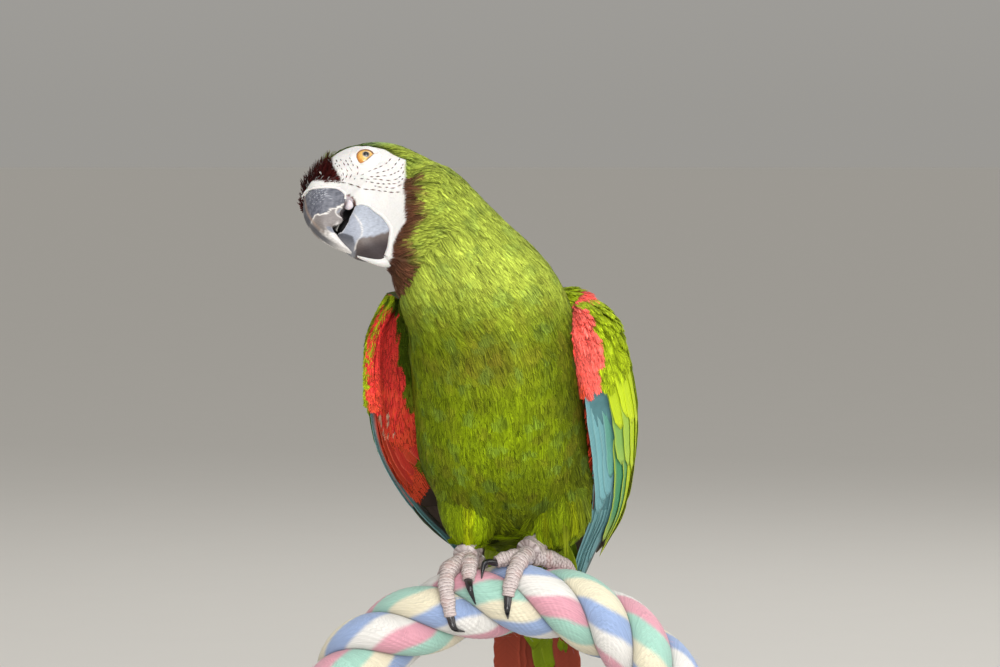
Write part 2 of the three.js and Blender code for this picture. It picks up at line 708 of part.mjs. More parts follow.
function buildBird() {
  const bird = new THREE.Group();
  const add = (name, solid, look) => bird.add(meshOf(name, solid, look));

  const flesh = trunk(0).add(skull());
  const upper = upperBill(0);
  const lower = lowerBill(0).subtract(upperBill(GAP));
  const trunkGrown = trunk(GAP);

  add('torso', below(flesh, TORSO_TOP), LOOK.green);
  add('neck', below(above(flesh, TORSO_TOP), NECK_TOP), LOOK.green);

  let head = above(flesh, NECK_TOP);
  head = head.add(upperBill(0.9, 0, 0.17));
  for (const side of [1, -1]) {
    head = head.add(eyelids(side)).subtract(ball(eyeCentre(side), EYE.radius + GAP));
    head = head.subtract(nostril(side));
  }
  head = head.subtract(upperBill(GAP)).subtract(lowerBill(GAP));
  add('head', head, LOOK.face);
  add('eye_left', ball(eyeCentre(1), EYE.radius), LOOK.eye);
  add('eye_right', ball(eyeCentre(-1), EYE.radius), LOOK.eye);
  add('upper_beak', upper, LOOK.bill);
  add('lower_beak', lower, LOOK.lowerBill);

  const body = union([trunkGrown, thighGrown(THIGH_RIGHT), thighGrown(THIGH_LEFT)]);
  add('wing_left', wing(WING_LEFT, 1, 11, body), LOOK.wingGreen);
  add('wing_right', wing(WING_RIGHT, -1, 23, body), LOOK.wingGreen);

  const rectrices = [];
  for (let pair = 0; pair < 6; pair++) {
    rectrices.push(tailFeather(1, pair), tailFeather(-1, pair));
  }
  add('tail', union([limb(TAIL_ROOT, { rings: 4 }), ...rectrices]).subtract(trunkGrown), LOOK.tail);

  const rope = ropeSolid();
  for (const { side, rows, foot } of LEGS) {
    add(`thigh_${side}`, limb(rows, THIGH_FACETS).subtract(trunkGrown), LOOK.green);
    const toes = foot.toes.map((rows) => {
      const held = rows.map((row) => pressed(row, row[3] - TOE_SINK));
      return limb(held, { rings: 8, sides: 7, ridge: 0.035 });
    });
    const shankRows = foot.shank.map((row, i) => pressed(row, row[3] - TOE_SINK + SHANK_RISE[i]));
    const shank = limb(shankRows, { rings: 3, sides: 10 });
    const claws = foot.claws.map((rows) => claw(rows));
    let grip = union([shank, ...toes]).subtract(rope);
    grip = grip.subtract(thighGrown(rows));
    foot.claws.forEach((rows) => {
      grip = grip.subtract(claw(rows, GAP));
    });
    add(`foot_${side}`, grip.subtract(trunkGrown), LOOK.foot);
    claws.forEach((solid, i) => add(`claw_${side}_${i + 1}`, solid.subtract(rope), LOOK.claw));
  }
  return bird;
}

function thighGrown(rows) {
  return limb(rows, { ...THIGH_FACETS, grow: GAP });
}

// Row of a toe or claw, drawn in towards the rope until it stands off the rope by no more than
// the given height.
function pressed([x, y, z, ...sizes], standoff) {
  const centre = ropeHeight(x);
  const distance = Math.hypot(y, z - centre);
  const scale = Math.min(1, (ROPE_RADIUS + standoff) / distance);
  return [x, y * scale, centre + (z - centre) * scale, ...sizes];
}

function claw(points, grow = 0) {
  const rows = points.map((point, i) => {
    const radius = CLAW_RADII[i];
    return [...pressed(point, CLAW_ARCH[i]), radius, radius * 0.8];
  });
  return limb(rows, { rings: 5, sides: 8, grow });
}

// ---- rope ---------------------------------------------------------------------------------

// Height of the rope's centreline at x.
function ropeHeight(x) {
  for (let i = 0; i < 200; i++) {
    const [here, , height] = along(ROPE_ARCH, i / 200);
    if (here >= x) {
      return height;
    }
  }
  return ROPE_ARCH.at(-1)[2];
}

function archStations() {
  const fine = 240;
  const places = Array.from({ length: fine + 1 }, (_, i) => vector(along(ROPE_ARCH, i / fine)));
  const run = [0];
  for (let i = 1; i <= fine; i++) {
    run.push(run[i - 1] + places[i].distanceTo(places[i - 1]));
  }
  const groove = run[places.findIndex((place) => place.x >= ROPE_GROOVE)];
  const stations = [];
  for (let k = 0; k <= ROPE_STEPS; k++) {
    const wanted = (run[fine] * k) / ROPE_STEPS;
    const i = Math.min(run.findIndex((length) => length >= wanted), fine);
    const t = Math.max(i, 1) / fine;
    const axis = heading(ROPE_ARCH, t);
    stations.push({ at: vector(along(ROPE_ARCH, t)), axis, run: wanted - groove });
  }
  return stations;
}

// Radius of the rope's outline at an angle from the middle of a strand.
function strandRadius(angle) {
  const lobe = Math.cos((angle * 3) / 2);
  return ROPE_VALLEY + (ROPE_RADIUS - ROPE_VALLEY) * Math.abs(lobe) ** 0.8;
}

function ropeSection(station, angles, radius) {
  const across = new THREE.Vector3(0, 1, 0);
  const upright = new THREE.Vector3().crossVectors(station.axis, across);
  const turn = (2 * Math.PI * station.run) / ROPE_LAY;
  return angles.map((angle, j) => station.at.clone()
    .addScaledVector(across, radius(angle, j) * Math.cos(angle + turn))
    .addScaledVector(upright, radius(angle, j) * Math.sin(angle + turn)));
}

// Places across one strand's outside, as shares of its half angle.
const STRAND_LOBE = [-1, -0.7, -0.35, 0, 0.35, 0.7, 1];

// The whole rope with room round it, for cutting what grips it.
function ropeSolid() {
  const third = (2 * Math.PI) / 3;
  const lobe = STRAND_LOBE.slice(0, -1).map((share) => (share * third) / 2);
  const angles = [0, 1, 2].flatMap((index) => lobe.map((angle) => angle + third * index));
  const radius = (angle, j) => strandRadius(lobe[j % lobe.length]) + 1.6 * GAP;
  return loft(archStations().map((station) => ropeSection(station, angles, radius)), () => true);
}

function strand(index) {
  const third = (2 * Math.PI) / 3;
  const middle = third * index;
  const lobe = STRAND_LOBE.map((share) => (share * third) / 2);
  const rings = archStations().map((station) => {
    const angles = lobe.map((angle) => angle + middle);
    const outer = ropeSection(station, angles, (angle) => strandRadius(angle - middle));
    const inner = ropeSection(station, [middle], () => GAP);
    const turned = ropeSection(station, [middle], () => GAP / 2)[0].sub(station.at);
    return [...inner, ...outer.map((point) => point.add(turned))];
  });
  const floor = ROPE_ARCH[0][2] + GAP;
  return loft(rings, (side) => side !== lobe.length).trimByPlane([0, 0, 1], floor);
}

// ---- stand --------------------------------------------------------------------------------

function baseSolid() {
  const { width, depth, height, corner, bevel } = BASE;
  const x = width / 2 - bevel;
  const y = depth / 2 - bevel;
  const shape = new THREE.Shape();
  shape.moveTo(-x + corner, -y);
  shape.lineTo(x - corner, -y);
  shape.absarc(x - corner, -y + corner, corner, -Math.PI / 2, 0);
  shape.lineTo(x, y - corner);
  shape.absarc(x - corner, y - corner, corner, 0, Math.PI / 2);
  shape.lineTo(-x + corner, y);
  shape.absarc(-x + corner, y - corner, corner, Math.PI / 2, Math.PI);
  shape.lineTo(-x, -y + corner);
  shape.absarc(-x + corner, -y + corner, corner, Math.PI, 1.5 * Math.PI);
  const geometry = new THREE.ExtrudeGeometry(shape, {
    depth: height - 2 * bevel,
    bevelThickness: bevel,
    bevelSize: bevel,
    bevelSegments: 1,
    curveSegments: 4,
  });
  geometry.translate(0, 0, bevel);
  return fromGeometry(geometry);
}

function upright(radius, from, to, x) {
  const geometry = new THREE.CylinderGeometry(radius, radius, to - from, 24);
  geometry.rotateX(Math.PI / 2);
  geometry.translate(x, ROPE_TOP.y, (from + to) / 2);
  return fromGeometry(geometry);
}

function buildStand() {
  const stand = new THREE.Group();
  stand.add(meshOf('stand_base', baseSolid(), LOOK.base));
  for (const [side, end] of [['right', ROPE_ARCH[0]], ['left', ROPE_ARCH.at(-1)]]) {
    const ropeEnd = ROPE_TOP.z + end[2];
    const capTop = ropeEnd - GAP;
    const capBottom = capTop - FERRULE.height;
    const cap = upright(FERRULE.radius, capBottom, capTop, end[0]);
    stand.add(meshOf(`stand_cap_${side}`, cap, LOOK.steel));
    const rod = upright(ROD_RADIUS, BASE.height + GAP, capBottom - GAP, end[0]);
    stand.add(meshOf(`stand_rod_${side}`, rod, LOOK.steel));
  }
  return stand;
}

const model = new THREE.Group();
const perched = buildBird();
for (let i = 0; i < 3; i++) {
  perched.add(meshOf(`perch_strand_${i + 1}`, strand(i), LOOK.rope));
}
perched.position.copy(ROPE_TOP);
model.add(perched, buildStand());

export default model;
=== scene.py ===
"""Chestnut-fronted macaw on a short rope perch: skin, feathers, bill, eyes, feet, rope, stand."""

import math
from itertools import product

import bpy
import numpy as np
from bpy.props import FloatProperty, FloatVectorProperty, IntProperty, PointerProperty
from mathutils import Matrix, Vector
from mathutils.bvhtree import BVHTree


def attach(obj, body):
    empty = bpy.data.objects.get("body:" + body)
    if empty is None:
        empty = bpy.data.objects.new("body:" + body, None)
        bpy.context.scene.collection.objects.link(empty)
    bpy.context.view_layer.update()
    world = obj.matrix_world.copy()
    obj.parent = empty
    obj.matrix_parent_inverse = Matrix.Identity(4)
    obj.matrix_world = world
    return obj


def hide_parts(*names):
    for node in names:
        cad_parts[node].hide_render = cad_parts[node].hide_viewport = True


bl_info = {
    "name": "Macaw on a rope perch",
    "version": (1, 0, 0),
    "blender": (4, 5, 0),
    "location": "3D View > Sidebar > Macaw",
    "description": "Builds a life-size macaw, its rope perch and its display stand",
    "category": "Add Mesh",
}

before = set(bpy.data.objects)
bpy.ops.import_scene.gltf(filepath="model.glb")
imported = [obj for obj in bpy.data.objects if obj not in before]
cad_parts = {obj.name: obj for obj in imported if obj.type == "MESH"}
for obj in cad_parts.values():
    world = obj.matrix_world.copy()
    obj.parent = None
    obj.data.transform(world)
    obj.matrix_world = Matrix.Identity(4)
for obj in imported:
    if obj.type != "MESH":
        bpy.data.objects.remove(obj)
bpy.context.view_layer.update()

# ---- shapes, in millimetres from the top of the rope's centreline -----------------------------

ROPE_TOP = np.array([0.0, -22.0, 196.0])  # that point, on the stand

ROPE_RADIUS, ROPE_VALLEY, ROPE_LAY, ROPE_GROOVE = 18.8, 14.2, 86.0, 7.0
ROPE_ARCH = np.array([
    [-102, 0, -94.2], [-102, 0, -80], [-98, 0, -62], [-90, 0, -43], [-77, 0, -26.5],
    [-54.6, 0, -12.8], [-29, 0, -3.1], [-1, 0, 0], [27, 0, -3.6], [51.5, 0, -16.3],
    [70.4, 0, -34.7], [85, 0, -57], [92.5, 0, -78], [92.5, 0, -94.2],
])
FERRULE = (21.5, 16.0)  # radius, height
ROD_RADIUS = 6.0
BASE = (270.0, 160.0, 14.0, 18.0)  # width, depth, height, corner

# centre x, y, z, half width, depth to the front, depth to the back, yaw
TRUNK = np.array([
    [12, 66, 13, 9, 5, 6, 12], [10, 58, 22, 19, 11, 13, 12], [5, 44, 37, 29, 20, 22, 13],
    [0, 25, 57, 38, 31, 32, 14], [-4.5, 8, 80, 44, 40, 38, 15], [-8, -6, 104, 44.5, 42, 40, 15],
    [-11, -17, 129, 44, 41, 40, 16], [-18, -25, 151, 41.5, 38, 38, 20],
    [-30, -31, 169, 36, 34, 35, 28], [-41, -32, 184, 30.5, 30, 34, 38],
    [-53, -28, 197, 27.5, 25, 32, 50], [-61, -26, 205, 19, 17, 23, 60],
])

# Head, in its own frame: f to the bill, l to the bird's left, u to the crown.
HEAD_AT = np.array([-79.9, -22.0, 214.9])
HEAD_TURN, HEAD_DIP, HEAD_ROLL = 72.0, 13.3, 31.6
HEAD_HALF_WIDTH, HEAD_ROUND = 19.0, 0.82
HEAD_CORE = np.array([-3.0, -14.0])
HEAD_PROFILE = np.array([
    [30.5, -4], [28.6, 3.2], [22.2, 9.4], [13.6, 14.2], [2, 17.4], [-12, 17], [-26, 11.5],
    [-36, 0.5], [-40, -16], [-35, -33], [-23, -44], [-10, -48.5], [0, -48.2], [6.5, -45],
    [9.5, -37.5], [10.5, -28], [13, -17.5], [20.5, -11.5], [28, -8.5],
])
# Bare skin of the face and the cere, f and u, seen from the side.
BARE_SKIN = np.array([
    [13.9, 3.6], [12.8, 7.6], [11.8, 10.3], [8.3, 12.2], [3, 13.4], [-2.4, 13.2], [-5.4, 10.6],
    [-9.9, 8], [-14.1, 4.8], [-16.5, 0.6], [-19.3, -2.2], [-22, -4], [-19.6, -9], [-17.6, -14.9],
    [-13.8, -20.3], [-13.5, -24.6], [-12.5, -27.6], [-11.6, -30.7], [-10.2, -36.5], [-7.4, -38.1],
    [-4.4, -40.9], [-1.6, -43.9], [0.6, -50], [10, -52], [24, -40], [40, -22], [40, -8],
    [32.6, -7], [31.4, -3.6], [29.6, -1.2], [28.1, -0.6], [25.6, 0.8], [23.6, -0.6], [20.6, -3.5],
    [15.9, -4.5], [12.9, -6.4], [12.9, -3.8], [13.9, -1.2],
])
# Rows of bristle feathers on the bare cheek, f and u.
FACE_ROWS = [
    [[12.4, 5.6], [12.4, 2.4], [12.2, -0.8], [11.9, -3.4]],
    [[10.8, 7.4], [11.1, 3.6], [11.2, 0.2], [11, -2.6], [11.1, -4.7], [12.3, -5.6]],
    [[9.1, 6.7], [9.1, 2.9], [9.1, -1.1], [8.8, -3.5], [9.1, -4.8], [10.9, -5.8]],
    [[7.1, 5.1], [7.2, 1.6], [7.2, -1.6], [6.8, -3.5], [7.4, -5.6], [9.7, -6.8]],
    [[4.9, 5.6], [5, 2.5], [5.1, -1.1]],
    [[3.3, -1.1], [3.5, -3.7], [4.5, -6.1], [6.8, -7.3]],
    [[-14.7, -1.7], [-12.2, -3.8], [-9, -5.3], [-5.4, -6.2], [-2, -6.8], [0.8, -7.2], [3.5, -7.6]],
    [[-19.4, -2.5], [-16.5, -5.4], [-13.5, -7.7], [-10.3, -8.8], [-7.6, -9], [-3.6, -9]],
    [[-20.2, -6], [-17.4, -8.8], [-14.5, -10.7], [-10.3, -11.8], [-6.8, -11.2], [-3.2, -10.8], [0.8, -9.6]],
    [[-18.6, -10.2], [-16.4, -12.9], [-13.1, -14.6], [-9.2, -14.9], [-4.6, -12.7], [0.1, -11.1], [4.7, -8.2]],
    [[-16.8, -14.8], [-13.9, -16.6], [-10.1, -16.9], [-5.9, -15.4], [-1.9, -13.3], [2.1, -11.1]],
    [[-14.6, -18.7], [-11.8, -19.3], [-8.5, -18.5], [-4.6, -16.4], [-1.1, -14.3]],
]
CHEEK_LINE = [
    [13.6, -5.6], [12, -6.2], [9.9, -7.7], [7.9, -9.2], [6.2, -11.7], [4.4, -13.8], [1.1, -15.1],
    [-1.6, -16.2], [-3.7, -17.7], [-6.7, -19.5], [-9.8, -21], [-12.4, -22.2],
]

EYE_AT = np.array([-2.9, 13.4, 3.2])  # f, l, u
EYE_RADIUS, EYE_DEPTH = 5.1, 0.86
# Opening between the eyelids: f and u from the eye's middle, in millimetres.
EYE_OPENING = np.array([
    [3.5, 2.5], [4.2, 1.1], [4.3, -0.4], [4, -2], [3.1, -3], [1, -2.8], [-1.65, -1.6],
    [-3.6, -0.4], [-5.2, 0.8], [-4.2, 1.9], [-2.7, 2.7], [-0.3, 3.4], [1.9, 3.4],
])

# Upper bill: f and u of the culmen, f and u of the cutting edge, half width.
UPPER_BILL = np.array([
    [25, 3.5, 4, -5, 9.5], [27.6, 0.8, 9, -8.6, 10.6], [29.5, -2.4, 12.2, -11.6, 11.2],
    [31.2, -5.6, 13.4, -14.4, 11.2], [32.4, -8.8, 15.6, -17.8, 10.7], [33, -12, 18.3, -20.8, 10.1],
    [33, -15.4, 17.7, -23.8, 9.3], [32.3, -18.6, 19.8, -25.4, 8.4], [31.2, -21.6, 23.4, -25.2, 7.6],
    [29.6, -25.2, 23.6, -27.4, 6.4], [27.8, -28.2, 22.5, -29.6, 5.3], [25.8, -31, 21.4, -32.2, 4.2],
    [23.4, -33.8, 20, -34.8, 3.2], [20.8, -36.4, 18.4, -37.4, 2.1], [17.6, -39.2, 16.6, -40.2, 0.8],
])
# Lower bill, in level slices: u, f of the back, f of the front, half width.
LOWER_BILL = np.array([
    [-16.5, 3, 9, 9], [-20.5, 1.5, 14, 11], [-26, -1.5, 20, 11.6], [-30.5, -4, 22.4, 11.2],
    [-36, -5, 19.4, 10.6], [-40.5, -3.6, 16.6, 8.6], [-44.5, -1.6, 11.5, 5.6], [-47.6, 2.4, 6.8, 2.2],
])
# Height of the lower bill's cutting edge along f.
LOWER_EDGE = np.array([
    [-10, -18.2], [6.4, -18.4], [9.5, -18.8], [10.9, -20.6], [12.7, -22.6], [14.3, -24.2],
    [16.2, -26.8], [18.8, -29], [20.2, -29.9], [22.1, -28.6], [24, -28.2],
])
# Where the horn of each bill comes out of the skin, and its free outline in front, f and u.
UPPER_HORN = np.array([
    [31.0, -2.4], [28.9, -2.1], [26.7, -3.3], [23, -4.9], [17.7, -6.4], [14.6, -7.9], [12.4, -11.4],
    [13.2, -14.2], [16.4, -18.5], [19, -21.5], [24, -34], [40, -34], [40, -2.4],
])
LOWER_HORN = np.array([
    [9.5, -18.8], [6.4, -19.5], [3.4, -21.4], [1.6, -24.4], [-1.2, -27.8], [-2.7, -32], [-3.2, -36],
    [-1.5, -40.2], [0.3, -44.2], [2.6, -47.2], [4.8, -47.8], [7.6, -45.4], [12, -42.5], [16.1, -40.3],
    [24, -38], [28, -26], [20, -20],
])
# Edge between the dark plate and the pale horn of the upper bill: f, u.
PLATE_EDGE = np.array([
    [35, -18.6], [31.7, -18.4], [31.2, -17.8], [30.1, -17.3], [28.4, -18.1], [26.1, -18.9],
    [24.6, -18.9], [23.3, -18.3], [21.9, -17.1], [19.4, -17.7], [17.1, -17.1], [14.5, -16.2],
    [10.4, -14], [2, -8],
])

# Wings: leading edge x, y, z, pull of the outer curve x, y, z, trailing edge x, y, z.
WING_ROWS = {
    "left": np.array([
        [28, -18, 151, 40, 0, 155, 22, 14, 154], [29, -37, 138, 71, -4, 141, 14, 24, 143],
        [35, -28, 102, 88, 14, 104, 14, 42, 106], [38.5, -9, 73, 86, 32, 72, 15, 59, 75],
        [39, 14, 44, 75, 52, 42, 17, 74, 45], [32, 48, 16, 54, 77, 12, 18, 88, 14],
        [22, 93, -33, 25, 100, -34, 17, 104, -34],
    ], float),
    "right": np.array([
        [-62, -5, 155, -67, 6, 156, -44, 10, 156], [-72.5, -8, 134, -70, 24, 134, -40, 27, 138],
        [-73.5, 0, 102, -71, 40, 101, -29, 42, 104], [-69, 18, 73, -65, 58, 70, -20, 59, 73],
        [-53, 40, 43, -45, 76, 39, -10, 74, 43], [-30, 64, 15, -21, 89, 11, 0, 88, 13],
        [-4, 93, -34, -1, 99, -35, 5, 103, -35],
    ], float),
}
OUTSIDE = {"left": 1.0, "right": -1.0}
DUSKY_EDGE = [0.48, 0.547, 0.6], [0.66, 0.46, 0.1]  # of the lining: down the wing, and across it
# Middle and radii of the left shoulder.
SHOULDER = np.array([[24.5, -4, 149.5], [14.5, 14, 9.6]], float)

TAIL_ROOT = np.array([9.5, 50.0, 30.0])
TAIL_ALONG = np.array([0.05, 0.42, -0.906])
TAIL_YAW, TAIL_SPREAD, TAIL_STEP = 13.0, 0.42, 0.88
TAIL_LENGTHS = (222, 206, 182, 158, 134, 112)

# x, y, z, half width, half depth
THIGHS = {
    "right": np.array([
        [-20, 3, 68, 21, 16], [-21, 2, 55, 18, 17], [-21, 6, 44.5, 14.5, 13.5],
        [-22, 11, 36.5, 9.8, 9.6], [-22, 14, 31.5, 7.4, 7.2],
    ]),
    "left": np.array([
        [20, 3, 68, 21, 16], [22, 2, 55, 16.5, 17], [21.5, 6, 45.5, 14.5, 13.5],
        [17, 10.5, 38, 10.5, 10], [13, 13.5, 33, 7.4, 7.2],
    ]),
}
SHANK_RISE = (20, 4, 0)
TOE_SINK, SCUTE = 0.8, 1.75  # how far the toes press into the rope; length of a scute
CLAW_RADII = (2.1, 1.5, 0.3)
CLAW_ARCH = (2.4, 4.6, 0.2)
FEET = {
    "right": {
        "shank": [[-22, 14.4, 31, 6.2], [-24, 9, 27.6, 6.4], [-26, 3, 25, 6.6]],
        "toes": [
            [[-24, 7, 25, 4.6], [-19.5, 15, 21, 4], [-17.5, 21, 12, 3.6], [-18, 22.6, 3.5, 3]],
            [[-25, 1, 24.8, 4.8], [-24, -9, 22.8, 4.2], [-24.4, -15.6, 19.2, 3.6], [-24.6, -19.6, 15.4, 3]],
            [[-27, 1, 24.8, 4.8], [-34, -10, 21.4, 4.3], [-36, -19.6, 12.6, 3.9], [-35, -23, 3.4, 3.6],
             [-33.7, -22.6, -6, 3]],
            [[-28, 6, 25, 4.6], [-35, 14, 20.6, 4.1], [-38, 21, 11, 3.7], [-37, 23, 1.5, 3.3],
             [-35.5, 21.6, -6, 3]],
        ],
        "claws": [
            [[-18, 22.8, 2.6], [-18, 25.5, -3], [-18.5, 22.6, -9.5]],
            [[-24.6, -20.2, 14.6], [-23.6, -24.2, 8.6], [-21, -22.8, 0.3]],
            [[-33.6, -22.9, -7], [-31.6, -26, -13.6], [-26.6, -22, -20.4]],
            [[-35.3, 21.8, -7], [-34, 23.4, -13.2], [-31.5, 18.6, -19]],
        ],
    },
    "left": {
        "shank": [[12, 14, 33, 6.2], [9, 9, 29.2, 6.4], [6, 3, 26, 6.6]],
        "toes": [
            [[7, 8, 25.4, 4.6], [4, 16, 20.6, 4], [3, 21.4, 11.6, 3.6], [4, 22.8, 3, 3]],
            [[5, 1, 25.6, 4.6], [-2, -2.6, 25.2, 4.1], [-7, -5, 24.2, 3.7], [-10.6, -7, 23.6, 3]],
            [[5, 1, 25.6, 4.8], [1.4, -9, 22.6, 4.3], [-1.4, -16.8, 17.2, 3.9], [-3.6, -21.4, 10.4, 3.6],
             [-4.6, -22.8, 4.6, 3]],
            [[9, 5, 26.4, 4.8], [17, 8.6, 24.8, 4.4], [24.5, 14.6, 19.6, 4], [29, 21, 10.6, 3.6],
             [30, 22.8, 1.6, 3]],
        ],
        "claws": [
            [[4, 23, 2], [4.4, 25.6, -4], [4.6, 22.4, -10.4]],
            [[-11.4, -7.8, 23.9], [-16.4, -12, 22.8], [-18, -15.6, 14.6]],
            [[-4.7, -23.2, 3.8], [-5, -26.4, -3], [-4.6, -22.8, -9.8]],
            [[30, 23, 0.6], [29.4, 25.4, -5.4], [28, 22, -11.6]],
        ],
    },
}

# Flight feathers and their coverts: how many; places of the first and last root and of the first
# and last tip, down the wing and from its leading edge; widths of the leading and the trailing
# vane; heights over the wing at root and tip; rise from one to the next; tilt; rows of points.
UPPER_TIERS = {
    "primaries": (6, (0.42, 0.01), (0.4, 0.14), (0.985, 0.05), (0.84, 0.16), 3.2, 6.5, 0.3, -1.2, 0.4, 0.06, 30),
    "secondaries": (12, (0.34, 0.15), (0.3, 0.97), (0.78, 0.2), (0.88, 0.97), 6, 8, 0.5, 2.2, 0.08, 0.05, 26),
    "primary_coverts": (4, (0.27, 0), (0.26, 0.08), (0.68, 0.03), (0.56, 0.1), 3.4, 5.5, 1, 1.2, 0.2, 0.06, 20),
    "greater_coverts": (12, (0.22, 0.13), (0.2, 0.97), (0.52, 0.17), (0.56, 0.97), 6, 7.5, 1, 2.8, 0, 0.05, 18),
    "median_coverts": (13, (0.16, 0.12), (0.12, 0.97), (0.395, 0.15), (0.39, 0.97), 5.4, 7, 1.3, 3.3, 0, 0.05, 14),
    "lesser_coverts": (14, (0.08, 0.12), (0.05, 0.95), (0.29, 0.14), (0.28, 0.95), 5, 6.4, 1.5, 3.4, 0, 0.05, 12),
}
UNDER_TIERS = {
    "greater_under": (8, (0.3, 0.08), (0.24, 0.92), (0.61, 0.1), (0.5, 0.92), 6.5, 9, -1, -2.2, 0, -0.05, 16),
}


# ---- small tools ------------------------------------------------------------------------------


def linear(code):
    """sRGB hex to linear RGB."""
    value = np.array([int(code[i:i + 2], 16) for i in (0, 2, 4)]) / 255
    return np.where(value <= 0.04045, value / 12.92, ((value + 0.055) / 1.055) ** 2.4)


def plug(tree, value, socket):
    """Sets a socket to a value, or links an output to it; a node stands for its first output."""
    value = value.outputs[0] if isinstance(value, bpy.types.Node) else value
    if isinstance(value, bpy.types.NodeSocket):
        tree.links.new(value, socket)
    else:
        socket.default_value = value


def add_node(tree, kind, settings=None, **sockets):
    """Adds a node; a socket is named with _ for a space, or with its number after an i."""
    made = tree.nodes.new(kind)
    for name, value in (settings or {}).items():
        setattr(made, name, value)
    for name, value in sockets.items():
        at_number = name[0] == "i" and name[1:].isdigit()
        plug(tree, value, made.inputs[int(name[1:])] if at_number else made.inputs[name.replace("_", " ")])
    return made


def unit(values):
    return values / np.maximum(np.linalg.norm(values, axis=-1, keepdims=True), 1e-9)


def level(way, normal):
    """The way, turned square to a normal of length 1."""
    return unit(way - normal * (way * normal).sum(-1, keepdims=True))


def mix(a, b, share):
    share = np.asarray(share)[..., None] if np.ndim(share) else share
    return a * (1 - share) + b * share


def layered(colour, *layers):
    """Lays colours over a colour, one after the other, each with its share."""
    for tone, share in layers:
        colour = mix(colour, linear(tone) if isinstance(tone, str) else tone, share)
    return colour


def smooth(low, high, value):
    t = np.clip((value - low) / (high - low), 0, 1)
    return t * t * (3 - 2 * t)


def steps(count):
    return np.linspace(0, 1, count)


def turns(count):
    return np.linspace(0, 2 * np.pi, count, endpoint=False)


def along(rows, t):
    """Smooth curve through rows of numbers, for each t from 0 to 1."""
    rows = np.asarray(rows, float)
    last = len(rows) - 1
    s = np.clip(np.atleast_1d(t), 0, 1) * last
    i = np.minimum(s.astype(int), last - 1)
    f = (s - i)[:, None]
    a, b = rows[np.maximum(i - 1, 0)], rows[i]
    d, e = rows[i + 1], rows[np.minimum(i + 2, last)]
    return 0.5 * (2 * b + (d - a) * f + (2 * a - 5 * b + 4 * d - e) * f ** 2 + (3 * b - a - 3 * d + e) * f ** 3)


def loop(outline, t):
    """Smooth closed curve through an outline."""
    return along(np.vstack([outline, outline[:1]]), t)


def heading(rows, t):
    t = np.atleast_1d(t)
    return unit(along(rows, t + 0.01)[:, :3] - along(rows, t - 0.01)[:, :3])


def run_along(path):
    """Way travelled along a path, up to each of its points."""
    return np.concatenate([[0], np.cumsum(np.linalg.norm(np.diff(path, axis=0), axis=1))])


def rings_round(middle, a, b, wide, deep, angle):
    """Rings round a row of middles, wide along a and deep along b."""
    a, b = a[..., None, :], b[..., None, :]
    return middle[:, None] + a * (wide * np.cos(angle))[..., None] + b * (deep * np.sin(angle))[..., None]


class Shape:
    """Points, faces, colours and maps gathered for one mesh."""

    def __init__(self):
        self.points, self.faces, self.colours, self.unwraps, self.patterns = [], [], [], [], []
        self.size = 0

    def add(self, points, faces, colours=0.5, unwrap=0.0, pattern=0.0):
        points = np.reshape(points, (-1, 3))
        self.faces.extend(np.asarray(f) + self.size for f in faces if len(f))
        for kept, values, wide in ((self.points, points, 3), (self.colours, colours, 3),
                                   (self.unwraps, unwrap, 2), (self.patterns, pattern, 2)):
            values = np.reshape(values, (-1, wide)) if np.ndim(values) > 1 else values
            kept.append(np.broadcast_to(values, (len(points), wide)))
        self.size += len(points)

    def build(self, name, material, slot, bake=False, on_rope=True):
        """The mesh object, riding on the model's one body."""
        points = (np.concatenate(self.points) + (ROPE_TOP if on_rope else 0)) * 0.001
        corners = np.concatenate([f.ravel() for f in self.faces])
        sizes = np.concatenate([np.full(len(f), f.shape[1]) for f in self.faces])
        mesh = bpy.data.meshes.new(name)
        mesh.vertices.add(len(points))
        mesh.vertices.foreach_set("co", points.astype(np.float32).ravel())
        mesh.loops.add(len(corners))
        mesh.loops.foreach_set("vertex_index", corners.astype(np.int32))
        mesh.polygons.add(len(sizes))
        mesh.polygons.foreach_set("loop_start", (np.cumsum(sizes) - sizes).astype(np.int32))
        mesh.polygons.foreach_set("use_smooth", np.ones(len(sizes), bool))
        mesh.update(calc_edges=True)
        mesh.validate()
        paint = mesh.color_attributes.new("Plumage", "FLOAT_COLOR", "POINT")
        colours = np.concatenate(self.colours)
        paint.data.foreach_set("color", np.c_[colours, np.ones(len(colours))].astype(np.float32).ravel())
        maps = [("OFBake", self.unwraps)] if bake else []
        for title, values in [*maps, ("Vane", self.patterns)]:
            layer = mesh.uv_layers.new(name=title)
            layer.data.foreach_set("uv", np.concatenate(values)[corners].astype(np.float32).ravel())
        made = bpy.data.objects.new(name, mesh)
        bpy.context.scene.collection.objects.link(made)
        mesh.materials.append(finish(material))
        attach(made, "root")
        return made


def grid_faces(rows, columns, closed=False):
    """Quads over a grid of points; closed joins the last column to the first."""
    i, j = np.meshgrid(np.arange(rows - 1), np.arange(columns if closed else columns - 1), indexing="ij")
    here, beside = i * columns + j, i * columns + (j + 1) % columns
    return np.stack([here, beside, beside + columns, here + columns], -1).reshape(-1, 4)


def rim_faces(rows, columns):
    """Quads that join the edges of a grid of points to a second one that follows it."""
    left, near, under = np.arange(rows - 1) * columns, np.arange(columns - 1), rows * columns
    right, far = left + columns - 1, near + (rows - 1) * columns
    edges = (left, left + columns), (right + columns, right), (near + 1, near), (far, far + 1)
    return [np.stack([a, b, b + under, a + under], -1) for a, b in edges]


